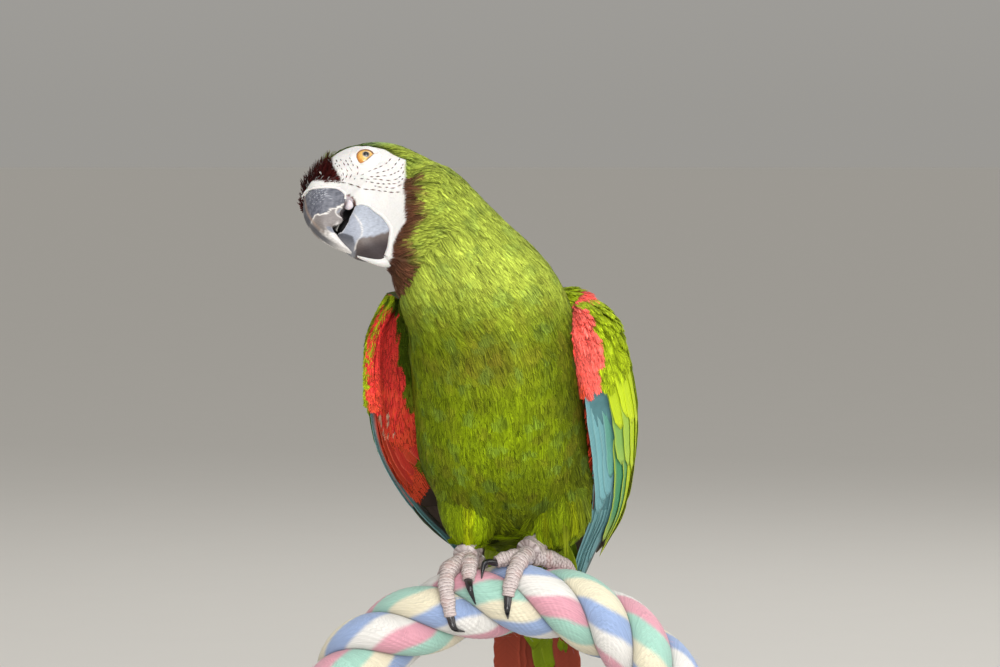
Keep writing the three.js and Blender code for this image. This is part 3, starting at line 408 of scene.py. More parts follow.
def loft(shape, rings, colours=0.5, pattern=0.0):
    """Adds rings of points as a closed form with fans at its ends."""
    count, sides = rings.shape[:2]

    def capped(values):
        if np.ndim(values) < 2:
            return values
        flat = values.reshape(-1, values.shape[-1])
        return np.vstack([flat, flat[:sides].mean(0), flat[-sides:].mean(0)])

    j, last = np.arange(sides), (count - 1) * sides
    k = (j + 1) % sides
    cap = 0 * j + last + sides
    fans = np.concatenate([np.stack([k, j, cap], -1), np.stack([last + j, last + k, cap + 1], -1)])
    faces = [grid_faces(count, sides, closed=True), fans]
    shape.add(capped(rings), faces, capped(colours), pattern=capped(pattern))


def limb_rings(rows, rings, sides):
    """Rings round a bent tube along rows of x, y, z, radius (and a second radius)."""
    r, axis = along(rows, steps(rings)), heading(rows, steps(rings))
    side = level([1.0, 0, 0], axis)
    return rings_round(r[:, :3], side, np.cross(axis, side), r[:, 3:4], r[:, -1:], turns(sides))


# ---- the bird's surfaces ----------------------------------------------------------------------


def trunk_rings(rings, sides):
    r, axis, angle = along(TRUNK, steps(rings)), heading(TRUNK, steps(rings)), turns(sides)
    yaw = np.radians(r[:, 6])
    left = level(np.stack([np.cos(yaw), -np.sin(yaw), 0 * yaw], -1), axis)
    depth = np.where(np.sin(angle) > 0, r[:, 5:6], r[:, 4:5])
    return rings_round(r[:, :3], left, np.cross(axis, left), r[:, 3:4], depth, angle)


def head_axes():
    turn, dip, roll = (math.radians(v) for v in (HEAD_TURN, HEAD_DIP, HEAD_ROLL))
    f = np.array([-math.sin(turn) * math.cos(dip), -math.cos(turn) * math.cos(dip), -math.sin(dip)])
    up = level([0, 0, 1.0], f)
    up = up * math.cos(roll) + np.cross(f, up) * math.sin(roll)
    return f, np.cross(up, f), up


HEAD_F, HEAD_L, HEAD_U = head_axes()


def on_head(f, l, u):
    f, l, u = (np.asarray(v, float)[..., None] for v in (f, l, u))
    return HEAD_AT + f * HEAD_F + l * HEAD_L + u * HEAD_U


def in_head(points):
    off = points - HEAD_AT
    return off @ HEAD_F, off @ HEAD_L, off @ HEAD_U


def near_head(points, reach=62):
    return np.linalg.norm(points - HEAD_AT, axis=1) < reach


def skull_rings(slices, sides):
    edge = loop(HEAD_PROFILE, steps(sides + 1)[:-1])
    q = np.pi * (steps(slices + 1)[1:-1, None] - 0.5)
    f, u = (HEAD_CORE[k] + (edge[:, k] - HEAD_CORE[k]) * np.cos(q) ** HEAD_ROUND for k in (0, 1))
    return on_head(f, HEAD_HALF_WIDTH * np.sin(q) + 0 * f, u)


def skull_side(f, u):
    """Distance from the head's middle plane to its side at f, u."""
    edge = loop(HEAD_PROFILE, steps(400)) - HEAD_CORE
    angles = np.unwrap(np.arctan2(edge[:, 1], edge[:, 0]))
    order, low = np.argsort(angles), angles.min()
    off = np.stack([f, u], -1) - HEAD_CORE
    angle = low + np.mod(np.arctan2(off[..., 1], off[..., 0]) - low, 2 * np.pi)
    rim = np.interp(angle, angles[order], np.linalg.norm(edge, axis=1)[order])
    reach = np.clip(np.linalg.norm(off, axis=-1) / rim, 0, 0.999)
    return HEAD_HALF_WIDTH * np.sqrt(1 - reach ** (2 / HEAD_ROUND))


def outline_distance(points, outline):
    """Distance from points (f, u) to a closed outline, negative inside it."""
    best = np.full(len(points), 1e9)
    inside = np.zeros(len(points), bool)
    for a, b in zip(outline, np.roll(outline, -1, axis=0)):
        edge = b - a
        t = np.clip(((points - a) @ edge) / (edge @ edge), 0, 1)
        best = np.minimum(best, np.linalg.norm(points - a - t[:, None] * edge, axis=1))
        crosses = (a[1] > points[:, 1]) != (b[1] > points[:, 1])
        reach = a[0] + (points[:, 1] - a[1]) * edge[0] / (edge[1] if edge[1] else 1e-9)
        inside ^= crosses & (points[:, 0] < reach)
    return np.where(inside, -best, best)


def upper_bill(rings=150, sides=112):
    """f, l, u over the upper bill, its way round (sin of the angle) and its way along. Its
    underside is hollow, so the cutting edges stand free."""
    t = steps(rings)
    r = along(UPPER_BILL, t)
    angle = turns(sides) - np.pi / 2
    s, c = np.sin(angle), np.cos(angle)
    down = np.clip(-s, 0, 1)
    inside = smooth(0.62, 1, down) * 0.55 * smooth(0.97, 0.6, t)[:, None]
    reach = np.where(s >= 0, s, -np.sin(np.minimum(down / 0.62, 1) * np.pi / 2) + inside)
    wall = np.where(down < 0.62, 1 - 0.16 * (down / 0.62) ** 2, 0.84 * (1 - down) / 0.38)
    width = np.where(s >= 0, np.abs(c) ** 0.85, wall) * np.sign(c)
    middle, half = (r[:, :2] + r[:, 2:4]) / 2, (r[:, :2] - r[:, 2:4]) / 2
    f = middle[:, :1] + half[:, :1] * reach
    u = middle[:, 1:] + half[:, 1:] * reach
    return f, r[:, 4:] * width, u, np.broadcast_to(s, f.shape), np.broadcast_to(t[:, None], f.shape)


def lower_bill(rings=130, sides=112):
    """f, l, u over the lower bill, and how far each place was above its cutting edge."""
    r = along(LOWER_BILL, steps(rings))
    s, c = np.sin(turns(sides)), np.cos(turns(sides))
    width = np.sign(s) * np.abs(s) ** np.where(c > 0, 0.78, 0.78 - 0.46 * np.abs(c))
    f = (r[:, 1:2] + r[:, 2:3]) / 2 + (r[:, 2:3] - r[:, 1:2]) / 2 * c
    l = r[:, 3:4] * width
    u = r[:, :1] + 0 * f
    edge = np.interp(f, LOWER_EDGE[:, 0], LOWER_EDGE[:, 1])
    above = u - edge
    u = np.where(above > 0, edge - 0.45 * np.minimum(above, 3), u)
    return f, l * np.where(above > 0, 1 - 0.05 * np.minimum(above, 4), 1), u, above


def side_level(surface, f, u):
    """How far out the left side of a bill stands at each f, u."""
    gf, gl, gu = (v[surface[1] > 0.2] for v in surface[:3])
    found = np.zeros(len(f))
    for i in range(0, len(f), 1500):
        gap = (gf[None] - f[i:i + 1500, None]) ** 2 + (gu[None] - u[i:i + 1500, None]) ** 2
        close = np.where(gap < 0.8, gl[None], -1).max(1)
        found[i:i + 1500] = np.where(close > 0, close, gl[gap.argmin(1)])
    return found


def globe(r):
    """How far out the eyeball's surface stands, at a distance from the eye's middle."""
    return EYE_AT[1] + EYE_DEPTH * np.sqrt(np.clip(EYE_RADIUS ** 2 - r ** 2, 0, None))


def under_horn(points):
    """The skin drawn in under the horn of both bills, and gently towards its edges."""
    points = points.copy()
    near = near_head(points, 66)
    f, l, u = in_head(points[near])
    for surface, outline in ((upper_bill(90, 72), UPPER_HORN), (lower_bill(90, 72), LOWER_HORN)):
        out = outline_distance(np.stack([f, u], -1), outline)
        rim = loop(outline, steps(220))
        nearest = ((rim[None, :, 0] - f[:, None]) ** 2 + (rim[None, :, 1] - u[:, None]) ** 2).argmin(1)
        limit = side_level(surface, *rim.T)[nearest] + 0.3 + 0.72 * np.maximum(out, 0)
        inner = out < 0
        limit[inner] = np.minimum(limit[inner], side_level(surface, f[inner], u[inner]) - 1.0)
        l = np.sign(l) * np.minimum(np.abs(l), np.maximum(limit, 0.4))
    r = np.hypot(f - EYE_AT[0], u - EYE_AT[2])
    socket = mix(globe(r)[:, None] - 1, np.abs(l)[:, None], smooth(5.2, 7.2, r))[:, 0]
    points[near] = on_head(f, np.where(r < 7.2, np.sign(l) * np.minimum(np.abs(l), socket), l), u)
    return points


def bare(points):
    """How far a place on the head is outside the bare skin, in millimetres; negative on it."""
    f, l, u = in_head(points)
    found = outline_distance(np.stack([f, u], -1), BARE_SKIN)
    return np.where(near_head(points, 60) & (f >= -24), found, 30.0)


TRUNK_LINE, TRUNK_HEADING = along(TRUNK, steps(160)), heading(TRUNK, steps(160))


def trunk_place(points):
    """Nearest station of the trunk's middle line, from the rump to the head."""
    return np.linalg.norm(points[:, None] - TRUNK_LINE[None, :, :3], axis=2).argmin(1)


def thigh_place(points, side):
    """Way down the nearest place of a thigh's middle line, and how far out of it, in radii."""
    rows = along(THIGHS[side], steps(30))
    gap = np.linalg.norm(points[:, None] - rows[None, :, :3], axis=2)
    k = gap.argmin(1)
    return k / 29.0, gap.min(1) / rows[k, 3]


def lie_of_coat(points):
    """Direction in which the feathers lie: from the bill over the head and down the body."""
    f, l, u = in_head(points)
    backward = unit(HEAD_U * (-0.35 * smooth(4, -20, u))[:, None] - HEAD_F)
    lie = unit(mix(-TRUNK_HEADING[trunk_place(points)], backward, near_head(points) * smooth(-38, -14, f)))
    for side, rows in THIGHS.items():
        t, gap = thigh_place(points, side)
        use = (gap < 1.25) * (points[:, 2] < 62) * smooth(66, 52, points[:, 2])
        lie = unit(mix(lie, heading(rows, t), use))
    return lie


def unwrap_skin(points):
    """Unwrap of the skin: round and along the trunk, with the head beside it."""
    station = trunk_place(points)
    off, axis = points - TRUNK_LINE[station, :3], TRUNK_HEADING[station]
    left = level([1.0, -0.25, 0], axis)
    turn = np.arctan2((off * np.cross(axis, left)).sum(1), (off * left).sum(1)) / (2 * np.pi) + 0.5
    body = np.stack([0.01 + 0.61 * turn, 0.01 + 0.97 * station / 159], -1)
    f, l, u = in_head(points)
    turn = np.arctan2(l, u + 14) / (2 * np.pi) + 0.5
    head = np.stack([0.65 + 0.33 * turn, 0.01 + 0.97 * (f + 50) / 90], -1)
    return np.where(((f > -24) & near_head(points))[:, None], head, body)


def waves(points, size, seed):
    """Soft random field over space, about -1 to 1, with lumps of one size."""
    rng = np.random.default_rng(seed)
    total = 0
    for _ in range(7):
        way = unit(rng.normal(size=3))
        total = total + np.sin(points @ way * (2 * np.pi / size) * rng.uniform(0.7, 1.4) + rng.uniform(0, 6.3))
    return total / 3.2


# ---- markings ---------------------------------------------------------------------------------

GREEN = linear("8ba20a")
# The neck's own yellower green, painted lighter than it is: painted light from above on the neck and crown.
TOP_LIT_LIME = linear("c6d657")
OLIVE = linear("77761f")
DEEP_GREEN = linear("5a6406")
BACK_GREEN = linear("6d8c1c")
EDGE_LIME = linear("bccb3c")
CROWN_BLUE = linear("a8dcae")
MAROON = linear("521d1b")
CHESTNUT = linear("7d4b3d")
FACE_WHITE = linear("dddbd8")
# Black of the mouth's inside: the tongue, and painted shade in the gape, inside both bills and in the nostrils.
MOUTH_AND_SHADE_BLACK = linear("0a0809")
RED = linear("fb4541")
# The red painted lighter and pinker than a surface can be: painted light and highlight, mostly on the bird's left
# wing and shoulder.
LIT_RED = linear("ff6e62") * 1.3
CORAL = linear("fb8262")
ORANGE = linear("fb5f3e")
BLUE = linear("70a5ab")
BLUE_EDGE = linear("93c2c2")
TEAL = linear("4f9a6a")
DUSK = linear("3f352f")
FLIGHT_GREEN = linear("bfd620")
FLIGHT_LIME = linear("d8e424")
TAIL_RED = linear("8a3a28")
TAIL_BLUE = linear("3f7c8c")


def body_colour(points):
    """Feather colour over the body, the same for the skin under it. It holds painted light and shade: a neck and
    crown lit from above, shade on the flanks, lighter thighs and shade between the legs.
    """
    x, y, z = points.T
    station = trunk_place(points)
    off = points - TRUNK_LINE[station, :3]
    behind = off @ [0.25, 0.97, 0.0] > 6
    patch = np.exp(-(((x + 17) / 26) ** 2 + ((z - 134) / 15) ** 2)) * (y < -10)
    # painted shade on the flanks, deeper towards the sides, fading out at the base of the neck
    shade = smooth(0.35, 0.9, np.abs(off[:, 0]) / TRUNK_LINE[station, 3]) * smooth(165, 140, z)
    blotch = waves(points, 15, 14)
    # painted shade low on the belly, between the legs
    gap = smooth(58, 42, z) * smooth(14, 7, np.abs(x + 4.5)) * (y < 12)
    colour = layered(
        # lighter towards the neck: partly its own yellower green, partly painted light from above
        GREEN, (TOP_LIT_LIME, 0.85 * smooth(138, 176, z)), (BACK_GREEN, 0.8 * behind * smooth(165, 140, z)),
        (OLIVE, 0.85 * patch),
        (OLIVE, 0.3 * smooth(0.2, 0.9, waves(points, 30, 9)) * smooth(40, 90, z) * smooth(170, 130, z)),
        # darker towards the bottom; painted shade on the flanks, full on the bird's left (x > 0) and 0.3 of it on
        # its right
        (DEEP_GREEN, 0.75 * smooth(96, 50, z)), (DEEP_GREEN * 0.62, np.where(x > 0, 1.0, 0.3) * shade),
        ("8a7a2a", 0.28 * smooth(0.2, 1, blotch) * smooth(190, 150, z)),
        ("6f9d52", 0.25 * smooth(0.2, 1, -blotch)), (DEEP_GREEN * 0.3, 0.9 * gap))
    # painted light: the thighs in lighter copies of the green, the right thigh lighter than the left
    for side, tone in (("right", 1.55), ("left", 1.15)):
        t, away = thigh_place(points, side)
        colour = mix(colour, GREEN * tone, 0.85 * smooth(1.3, 0.8, away) * smooth(66, 50, z) * (1 - gap))
    colour = colour * (1 + 0.1 * waves(points, 22, 5) + 0.05 * waves(points, 7, 6))[:, None]
    f, l, u = in_head(points)
    near, out, ragged = near_head(points), bare(points), 1.6 * waves(points, 5, 8)
    crown = near * smooth(-42, -20, f) * smooth(6, 14, u)
    front = np.maximum(smooth(10.5, 12, f) * smooth(11.5, 9, u + 0.5 * ragged), smooth(19, 21.5, f + ragged))
    wide = np.interp(u, [-46, -36, -25, -18, -14.5], [8, 9.5, 9, 6.5, 0])
    rim = near * smooth(wide, wide * 0.25, out + ragged * 0.8 + 0.9 * waves(points, 2.6, 13)) * (wide > 0.3)
    throat = near * smooth(-42, -47, u + ragged) * smooth(-10, -3, f)
    colour = layered(
        # the crown's blue green, lightened with the same painted light from above
        colour, (mix(TOP_LIT_LIME, CROWN_BLUE, 0.6), 0.9 * crown * smooth(12, -6, f)),
        (MAROON, near * front * (u > -12)),
        (CHESTNUT * (1 + 0.25 * waves(points, 6, 12))[:, None], np.maximum(rim, throat) * 0.95),
        (MAROON, 0.35 * near * (u < -20) * smooth(4.5, 0.8, out)))
    return np.clip(colour, 0.002, 1)


def skin_colour(points):
    out = bare(points)
    f, l, u = in_head(points)
    corner = np.interp(u, [-19.5, -18.8, -16.8, -12.7, -11], [9.2, 9.4, 9.7, 11.4, 12.2])
    ahead = (f - corner) * (u < -12.4) * (u > -32) * (out < 3)
    # the gape: pale flesh at its top, black below it as painted shade in the open mouth
    gape = mix(linear("b9adb2"), MOUTH_AND_SHADE_BLACK, smooth(-16.4, -17, u - 0.3 * (f - 12)))
    white = FACE_WHITE * (1 + 0.03 * waves(points, 6, 3))[:, None]
    # the skin under the coat takes the feathers' colour darkened to 0.55: painted shade in the gaps between
    # feathers
    return layered(
        body_colour(points) * 0.55, (white, smooth(0.5, -0.4, out)),
        (CHESTNUT * 0.5, smooth(-0.5, -0.1, ahead) * (ahead != 0)), (gape, smooth(0.2, 0.6, ahead)))


# ---- feathers ---------------------------------------------------------------------------------


def contour_feathers(shape, feathers, seed, barbs=11, loose=0.1):
    """Small feathers. Each is a narrow leaf with fine barbs over it that leave the shaft on both
    sides, curve towards the tip and end on the vane's outline."""
    rng = np.random.default_rng(seed)
    count = len(feathers[0])
    root, lie, out, length, width, rise, bend, colour, edge, unwrap = (v[:, None, None] for v in feathers)
    across = unit(np.cross(lie, out))

    def place(t, x, high):
        wide = x * width / 2
        arch = rise * (0.2 + 1.75 * t - 1.2 * t * t) - 0.2 * wide ** 2 / width
        parts = (lie, length * t), (across, wide), (out, arch + high), (bend, t * t)
        return root + sum(way * reach[..., None] for way, reach in parts)

    def maps(t, x):
        spot = np.stack([np.clip(x, -1.2, 1.2) * 0.0012, (np.clip(t, 0, 1) - 0.5) * 0.0026], -1)
        return unwrap + spot, np.stack([x * width * 0.0005 + shift, 0 * t + shift], -1)

    base_t = np.concatenate([np.linspace(0.04, 0.8, barbs)] * 2 + [[0.7]])
    side = np.concatenate([np.ones(barbs), -np.ones(barbs), [0.0]])
    total = len(side)
    span = np.minimum(base_t + 0.37, 1.0 - 0.02 * np.abs(side))
    end = span + 0.03 * rng.normal(size=(count, total))
    swell = np.sin(np.clip(span, 0, 1) * 2.35 + 0.42) ** 0.8
    tip_x = side * swell * (1 + loose * rng.normal(size=(count, total)))
    mid_t = base_t + (end - base_t) * 0.45
    mid_x = tip_x * 0.6 * (1 + 0.8 * loose * rng.normal(size=(count, total)))
    half = 0.84 / (barbs - 1)
    shade = (1 + 0.13 * rng.normal(size=(count, total))) * (1 + 0.07 * rng.normal(size=(count, 1)))
    shade = np.where(rng.random((count, total)) < 0.03, 0.45, shade)
    shaft = rng.random(count) < 0.05
    shade[shaft, -1] = 0.2
    first_t = base_t + 0 * end
    first_t[shaft, -1] = 0.25
    t = np.stack([first_t, first_t, mid_t, mid_t, end], -1)
    x = np.stack([0 * tip_x - half, 0 * tip_x + half, mid_x - half * 0.9, mid_x + half * 0.9, tip_x], -1)
    lift = np.array([0, 0, 0.6, 0.6, 1.0]) * 0.04 * rng.normal(size=(count, total, 1))
    points = place(t, x, lift * np.minimum(1, width / 6) + 0.1)
    tone = np.clip(shade[..., None] * (0.8 + 0.26 * np.clip(t, 0, 1)), 0.2, 1.6)[..., None]
    faces = (np.arange(count * total)[:, None, None] * 5 + [[0, 1, 3], [0, 3, 2], [2, 3, 4]]).reshape(-1, 3)
    shift = rng.random(count)[:, None, None]
    shape.add(points, [faces], tone * mix(colour, edge, [0, 0, 0.15, 0.15, 0.6]), *maps(t, x))

    t = np.array([0, 0, 0.35, 0.35, 0.68, 0.68, 0.88, 0.88, 0.97]) + np.zeros((count, 1, 9))
    x = np.array([-0.3, 0.3, -0.66, 0.66, -0.66, 0.66, -0.42, 0.42, 0]) + np.zeros((count, 1, 9))
    first = np.arange(count)[:, None, None] * 9
    quads = (first + [[0, 1, 3, 2], [2, 3, 5, 4], [4, 5, 7, 6]]).reshape(-1, 4)
    last = (first + [[6, 7, 8]]).reshape(-1, 3)
    shape.add(place(t, x, -0.06), [quads, last], colour * (0.6 + 0.3 * t)[..., None], *maps(t, x))


COLUMNS = np.array([-1, -0.82, -0.58, -0.32, -0.09, 0, 0.09, 0.32, 0.58, 0.82, 1])


def vane_feather(shape, at, side, normal, lead, trail, tilt, upper, lower, seed, unwrap, thick=0.24,
                 curl=0.004):
    """One flight feather or covert: a shaft with a vane on each side, thin, cambered, with a
    slightly ragged outline and a split or two. upper and lower give the colours of its faces."""
    rng = np.random.default_rng(seed)
    rows, columns = len(at), len(COLUMNS)
    t = steps(rows)[:, None]
    reach = np.where(COLUMNS < 0, lead[:, None], trail[:, None]) * COLUMNS
    for sign in (-1, 1):
        notch = rng.uniform(0.45, 0.93)
        dent = 1 - rng.uniform(0.0, 0.22) * np.exp(-(((t - notch) / 0.02) ** 2))
        rough = 1 + 0.035 * rng.normal(size=(rows, 1))
        reach = np.where(np.sign(COLUMNS) == sign, reach * dent * rough, reach)
    height = 0.3 * np.exp(-((COLUMNS / 0.07) ** 2)) * (1 - 0.7 * t) - reach * tilt - curl * reach ** 2
    body = thick * (1 - 0.75 * np.abs(COLUMNS) ** 2) * (1 - 0.5 * t)
    slip = -0.25 * np.abs(reach) * smooth(0.75, 1.0, t)
    side, normal, down = (way[..., None, :] for way in (side, normal, unit(np.gradient(at, axis=0))))
    spread = at[:, None] + side * reach[..., None] + down * slip[..., None]
    faces = [spread + normal * (height + face * body / 2)[..., None] for face in (1, -1)]
    top = grid_faces(rows, columns)
    t, share = np.broadcast_arrays(t, COLUMNS)
    way = run_along(at)[:, None] * 0.001 + rng.uniform(0, 0.5) + 0 * reach
    place = unwrap + np.stack([share * 0.0014, (t - 0.5) * 0.0028], -1)
    shape.add(faces, [top, top[:, ::-1] + rows * columns, *rim_faces(rows, columns)],
              [upper(t, share), lower(t, share)], [place] * 2, [np.stack([reach * 0.001, way], -1)] * 2)


def fullness(t):
    opening = np.minimum(1, 0.35 + 2.2 * t)
    closing = np.where(t < 0.8, 1, np.sqrt(np.clip(1 - ((t - 0.8) / 0.2) ** 2, 0, 1)))
    return np.maximum(opening * closing, 0.06)


def wing_point(side, u, v):
    r = along(WING_ROWS[side], u)
    v = np.atleast_1d(v)[:, None]
    return (1 - v) ** 2 * r[:, :3] + 2 * v * (1 - v) * r[:, 3:6] + v ** 2 * r[:, 6:9]


def wing_frame(side, u, v):
    """Place, direction to the tip, direction to the trailing edge, and outward direction."""
    u, v = np.broadcast_arrays(np.atleast_1d(u).astype(float), np.atleast_1d(v).astype(float))
    step = 0.01
    low = np.minimum(u + step, 1)
    down = wing_point(side, low, v) - wing_point(side, low - 2 * step, v)
    across = wing_point(side, u, v + step) - wing_point(side, u, v - step)
    return wing_point(side, u, v), unit(down), unit(across), unit(np.cross(down, across)) * OUTSIDE[side]


def wing_flesh(u, v):
    lengthwise = np.clip(1.15 - 1.6 * u, 0.12, 1)
    crosswise = 0.35 + 1.3 * np.sqrt(np.clip(v, 0, 1)) * np.clip(1 - v, 0, 1) ** 1.1
    return 0.5 + 5.2 * lengthwise * crosswise


def flat(colour):
    return lambda t, c: np.broadcast_to(colour, (*t.shape, 3))


def web_colours(outer, inner, edge=None, tip=None, fade=0.5):
    """Colours of a feather's face: outer web, inner web, a lighter outer edge and a tip."""
    def paint(t, c):
        value = mix(outer, inner, smooth(0.3, 0.75, c))
        if edge is not None:
            value = mix(value, edge, 0.8 * smooth(-0.72, -1.0, c) + 0.45 * smooth(0.86, 1.0, c))
        if tip is not None:
            value = mix(value, tip, smooth(0.72, 1.0, t) * fade)
        return value * (0.8 + 0.25 * t[..., None])
    return paint


def tier_colours(tier, share, rng):
    """Upper and under colours of one wing feather, from its tier and its share of the way across."""
    tone = 1 + 0.06 * rng.normal()
    if tier == "primaries":
        upper = web_colours(BLUE * tone, DUSK, edge=BLUE_EDGE, tip=BLUE * 0.7, fade=0.3)
        return upper, web_colours(BLUE, DUSK * (2.2 + 0.8 * rng.random()), edge=BLUE_EDGE)
    if tier == "primary_coverts":
        shade = mix(BLUE, TEAL, 0.5 * (share > 0.8))
        upper = web_colours(shade * tone, shade * 0.8 * tone, edge=BLUE_EDGE)
        return upper, web_colours(BLUE_EDGE, DUSK * 1.4)
    if tier == "secondaries":
        green = layered(
            TEAL, (FLIGHT_GREEN, smooth(0.05, 0.2, share)), (FLIGHT_LIME, smooth(0.1, 0.5, share) * 0.6))
        upper = web_colours(green * tone, green * 0.75, edge=FLIGHT_LIME, tip=FLIGHT_LIME)
        return upper, web_colours(DUSK * 2.6, DUSK * (1.8 + 0.8 * rng.random()), edge=green * 0.7)
    if tier in ("greater_coverts", "median_coverts", "lesser_coverts"):
        green = FLIGHT_GREEN * tone
        if tier == "greater_coverts":
            green = mix(mix(TEAL, FLIGHT_GREEN, 0.35), green, smooth(0.0, 0.22, share))
        edge = mix(green, FLIGHT_LIME, 0.5)
        upper = web_colours(green, green * 0.92, edge=edge, tip=FLIGHT_LIME, fade=0.2)
        return upper, flat(green * 0.6)
    hue = mix(RED, ORANGE, rng.random())
    return flat(hue * 0.8), web_colours(hue * 0.9, hue * tone, edge=CORAL)


def wing_feathers(shape, side, tiers, seed):
    """All tiers of one face of a wing."""
    rng = np.random.default_rng(seed)
    for order, (tier, spec) in enumerate(tiers.items()):
        count, *corners, lead, trail, low, high, rise, tilt, rows = spec
        for i in range(count):
            share, t = i / (count - 1), steps(rows)
            first, last = np.array(corners[::2]), np.array(corners[1::2])
            root, tip = mix(first, last, share)
            tip = tip + np.array([0.012, 0.006]) * rng.normal(size=2)
            at, down, across, normal = wing_frame(side, *(a + (b - a) * t for a, b in zip(root, tip)))
            wide = fullness(t) * (1 + 0.06 * rng.normal())
            height = low + (high + rise * i - low) * np.minimum(1, 2.2 * t)
            colours = tier_colours(tier, share, rng)
            unwrap = np.array([0.03 + 0.9 * root[1] / 1.05, 0.03 + 0.15 * order + 0.1 * root[0]])
            vane_feather(shape, at + normal * height[:, None], across, normal, lead * wide, trail * wide,
                         tilt + 0.02 * rng.normal(), *colours, seed * 1000 + order * 50 + i, unwrap)


# ---- materials --------------------------------------------------------------------------------


def new_material(name, **sockets):
    """A material's node tree and its shader, with constant values set on the shader's sockets."""
    made = bpy.data.materials.new(name)
    made.use_nodes = True
    shader = made.node_tree.nodes["Principled BSDF"]
    for title, value in sockets.items():
        plug(made.node_tree, value, shader.inputs[title.replace("_", " ")])
    return made.node_tree, shader


def grain(tree, millimetres, detail=3.0, stretch=(1, 1, 1)):
    """Irregular grain over a piece, with lumps of about this size."""
    place = add_node(tree, "ShaderNodeTexCoord").outputs["Object"]
    scaled = add_node(tree, "ShaderNodeMapping", Vector=place, Scale=stretch)
    return add_node(tree, "ShaderNodeTexNoise", Vector=scaled, Scale=1000 / millimetres, Detail=detail)


def painted(tree, shader, pattern, low, high, span=(0.2, 0.8), relief=None):
    """Puts the piece's own colours on the shader, times low to high as the pattern goes over its
    span. The pattern may also stand in relief, by a strength and a depth in metres."""
    paint = add_node(tree, "ShaderNodeAttribute", {"attribute_name": "Plumage"})
    share = add_node(tree, "ShaderNodeMapRange", Value=pattern, From_Min=span[0], From_Max=span[1],
                     To_Min=low, To_Max=high)
    tone = add_node(tree, "ShaderNodeVectorMath", {"operation": "SCALE"}, i0=paint, Scale=share)
    plug(tree, tone, shader.inputs["Base Color"])
    if relief:
        raised = add_node(tree, "ShaderNodeBump", Height=pattern, Strength=relief[0], Distance=relief[1])
        plug(tree, raised, shader.inputs["Normal"])


def shaded(tree, socket, pattern, low, high):
    """Puts a colour on a socket that goes from low to high over the pattern."""
    shade = add_node(tree, "ShaderNodeValToRGB", Fac=pattern)
    for element, colour in zip(shade.color_ramp.elements, (low, high)):
        element.color = (*colour, 1)
    plug(tree, shade, socket)
    return shade


def roughened(tree, shader, pattern, low, high):
    """Lets the shader's roughness go from low to high over the pattern."""
    rough = add_node(tree, "ShaderNodeMapRange", Value=pattern, To_Min=low, To_Max=high)
    plug(tree, rough, shader.inputs["Roughness"])


def contour_feather(name):
    # Small feathers: keratin barbs, soft and matt. The barbs are mesh, and finer lines run along
    # every feather, drawn 0.6 mm wide so that they show.
    tree, shader = new_material(name, Roughness=0.72, Specular_IOR_Level=0.08)
    vane = add_node(tree, "ShaderNodeUVMap", {"uv_map": "Vane"})
    lines = add_node(tree, "ShaderNodeTexNoise", Vector=vane, Scale=1000 / 0.6, Detail=1.0)
    soft = add_node(tree, "ShaderNodeMath", {"operation": "MULTIPLY"}, i0=grain(tree, 8.0), i1=0.5)
    both = add_node(tree, "ShaderNodeMath", {"operation": "MULTIPLY_ADD"}, i0=lines, i1=1.7, i2=soft)
    painted(tree, shader, both, 0.26, 1.24, (0.7, 1.5))


def flight_feather(name):
    # Flight feathers: keratin barbs hooked into a smooth vane, sleek, with barb lines at a slant
    # to the shaft. Barbs are 0.3 mm apart; drawn 0.9 mm apart so that they show.
    tree, shader = new_material(name, Roughness=0.5, Specular_IOR_Level=0.22)
    vane = add_node(tree, "ShaderNodeUVMap", {"uv_map": "Vane"})
    parts = add_node(tree, "ShaderNodeSeparateXYZ", Vector=vane).outputs
    away = add_node(tree, "ShaderNodeMath", {"operation": "ABSOLUTE"}, i0=parts["X"])
    slant = add_node(tree, "ShaderNodeMath", {"operation": "MULTIPLY_ADD"}, i0=away, i1=-1.15, i2=parts["Y"])
    line = add_node(tree, "ShaderNodeCombineXYZ", X=slant)
    barbs = add_node(tree, "ShaderNodeTexNoise", Vector=line, Scale=1000 / 0.9, Detail=2.0)
    painted(tree, shader, barbs, 0.72, 1.26, relief=(0.35, 0.0003))


def rope_cotton(name):
    # Cotton rope: soft combed fibres laid along each strand, matt with a slight fuzz. Fibres
    # are 0.02 mm thick; their bundles show about 0.7 mm apart.
    tree, shader = new_material(name, Roughness=0.92, Specular_IOR_Level=0.2, Sheen_Weight=0.25,
                                Sheen_Roughness=0.6)
    vane = add_node(tree, "ShaderNodeUVMap", {"uv_map": "Vane"})
    drawn_out = add_node(tree, "ShaderNodeMapping", Vector=vane, Scale=(1, 0.06, 1))
    fibres = add_node(tree, "ShaderNodeTexNoise", Vector=drawn_out, Scale=1000 / 0.7, Detail=4.0)
    painted(tree, shader, fibres, 0.74, 1.16, relief=(0.55, 0.0006))


def rod_steel(name):
    # Brushed stainless steel rod: fine turned lines round it.
    tree, shader = new_material(name, Metallic=1.0, Roughness=0.32)
    lines = grain(tree, 1.2, 3.0, (0.2, 0.2, 4))
    shaded(tree, shader.inputs["Base Color"], lines, linear("8f9193"), linear("c3c5c6"))
    roughened(tree, shader, lines, 0.24, 0.42)


def board_lacquer(name):
    # Black lacquered board: satin, with a trace of orange peel 3 mm across.
    tree, shader = new_material(name, Roughness=0.36, Coat_Weight=0.3, Coat_Roughness=0.2)
    peel = grain(tree, 3.0)
    shaded(tree, shader.inputs["Base Color"], peel, linear("1b1b1d"), linear("262629"))
    raised = add_node(tree, "ShaderNodeBump", Height=peel, Strength=0.06, Distance=0.0003)
    plug(tree, raised, shader.inputs["Normal"])


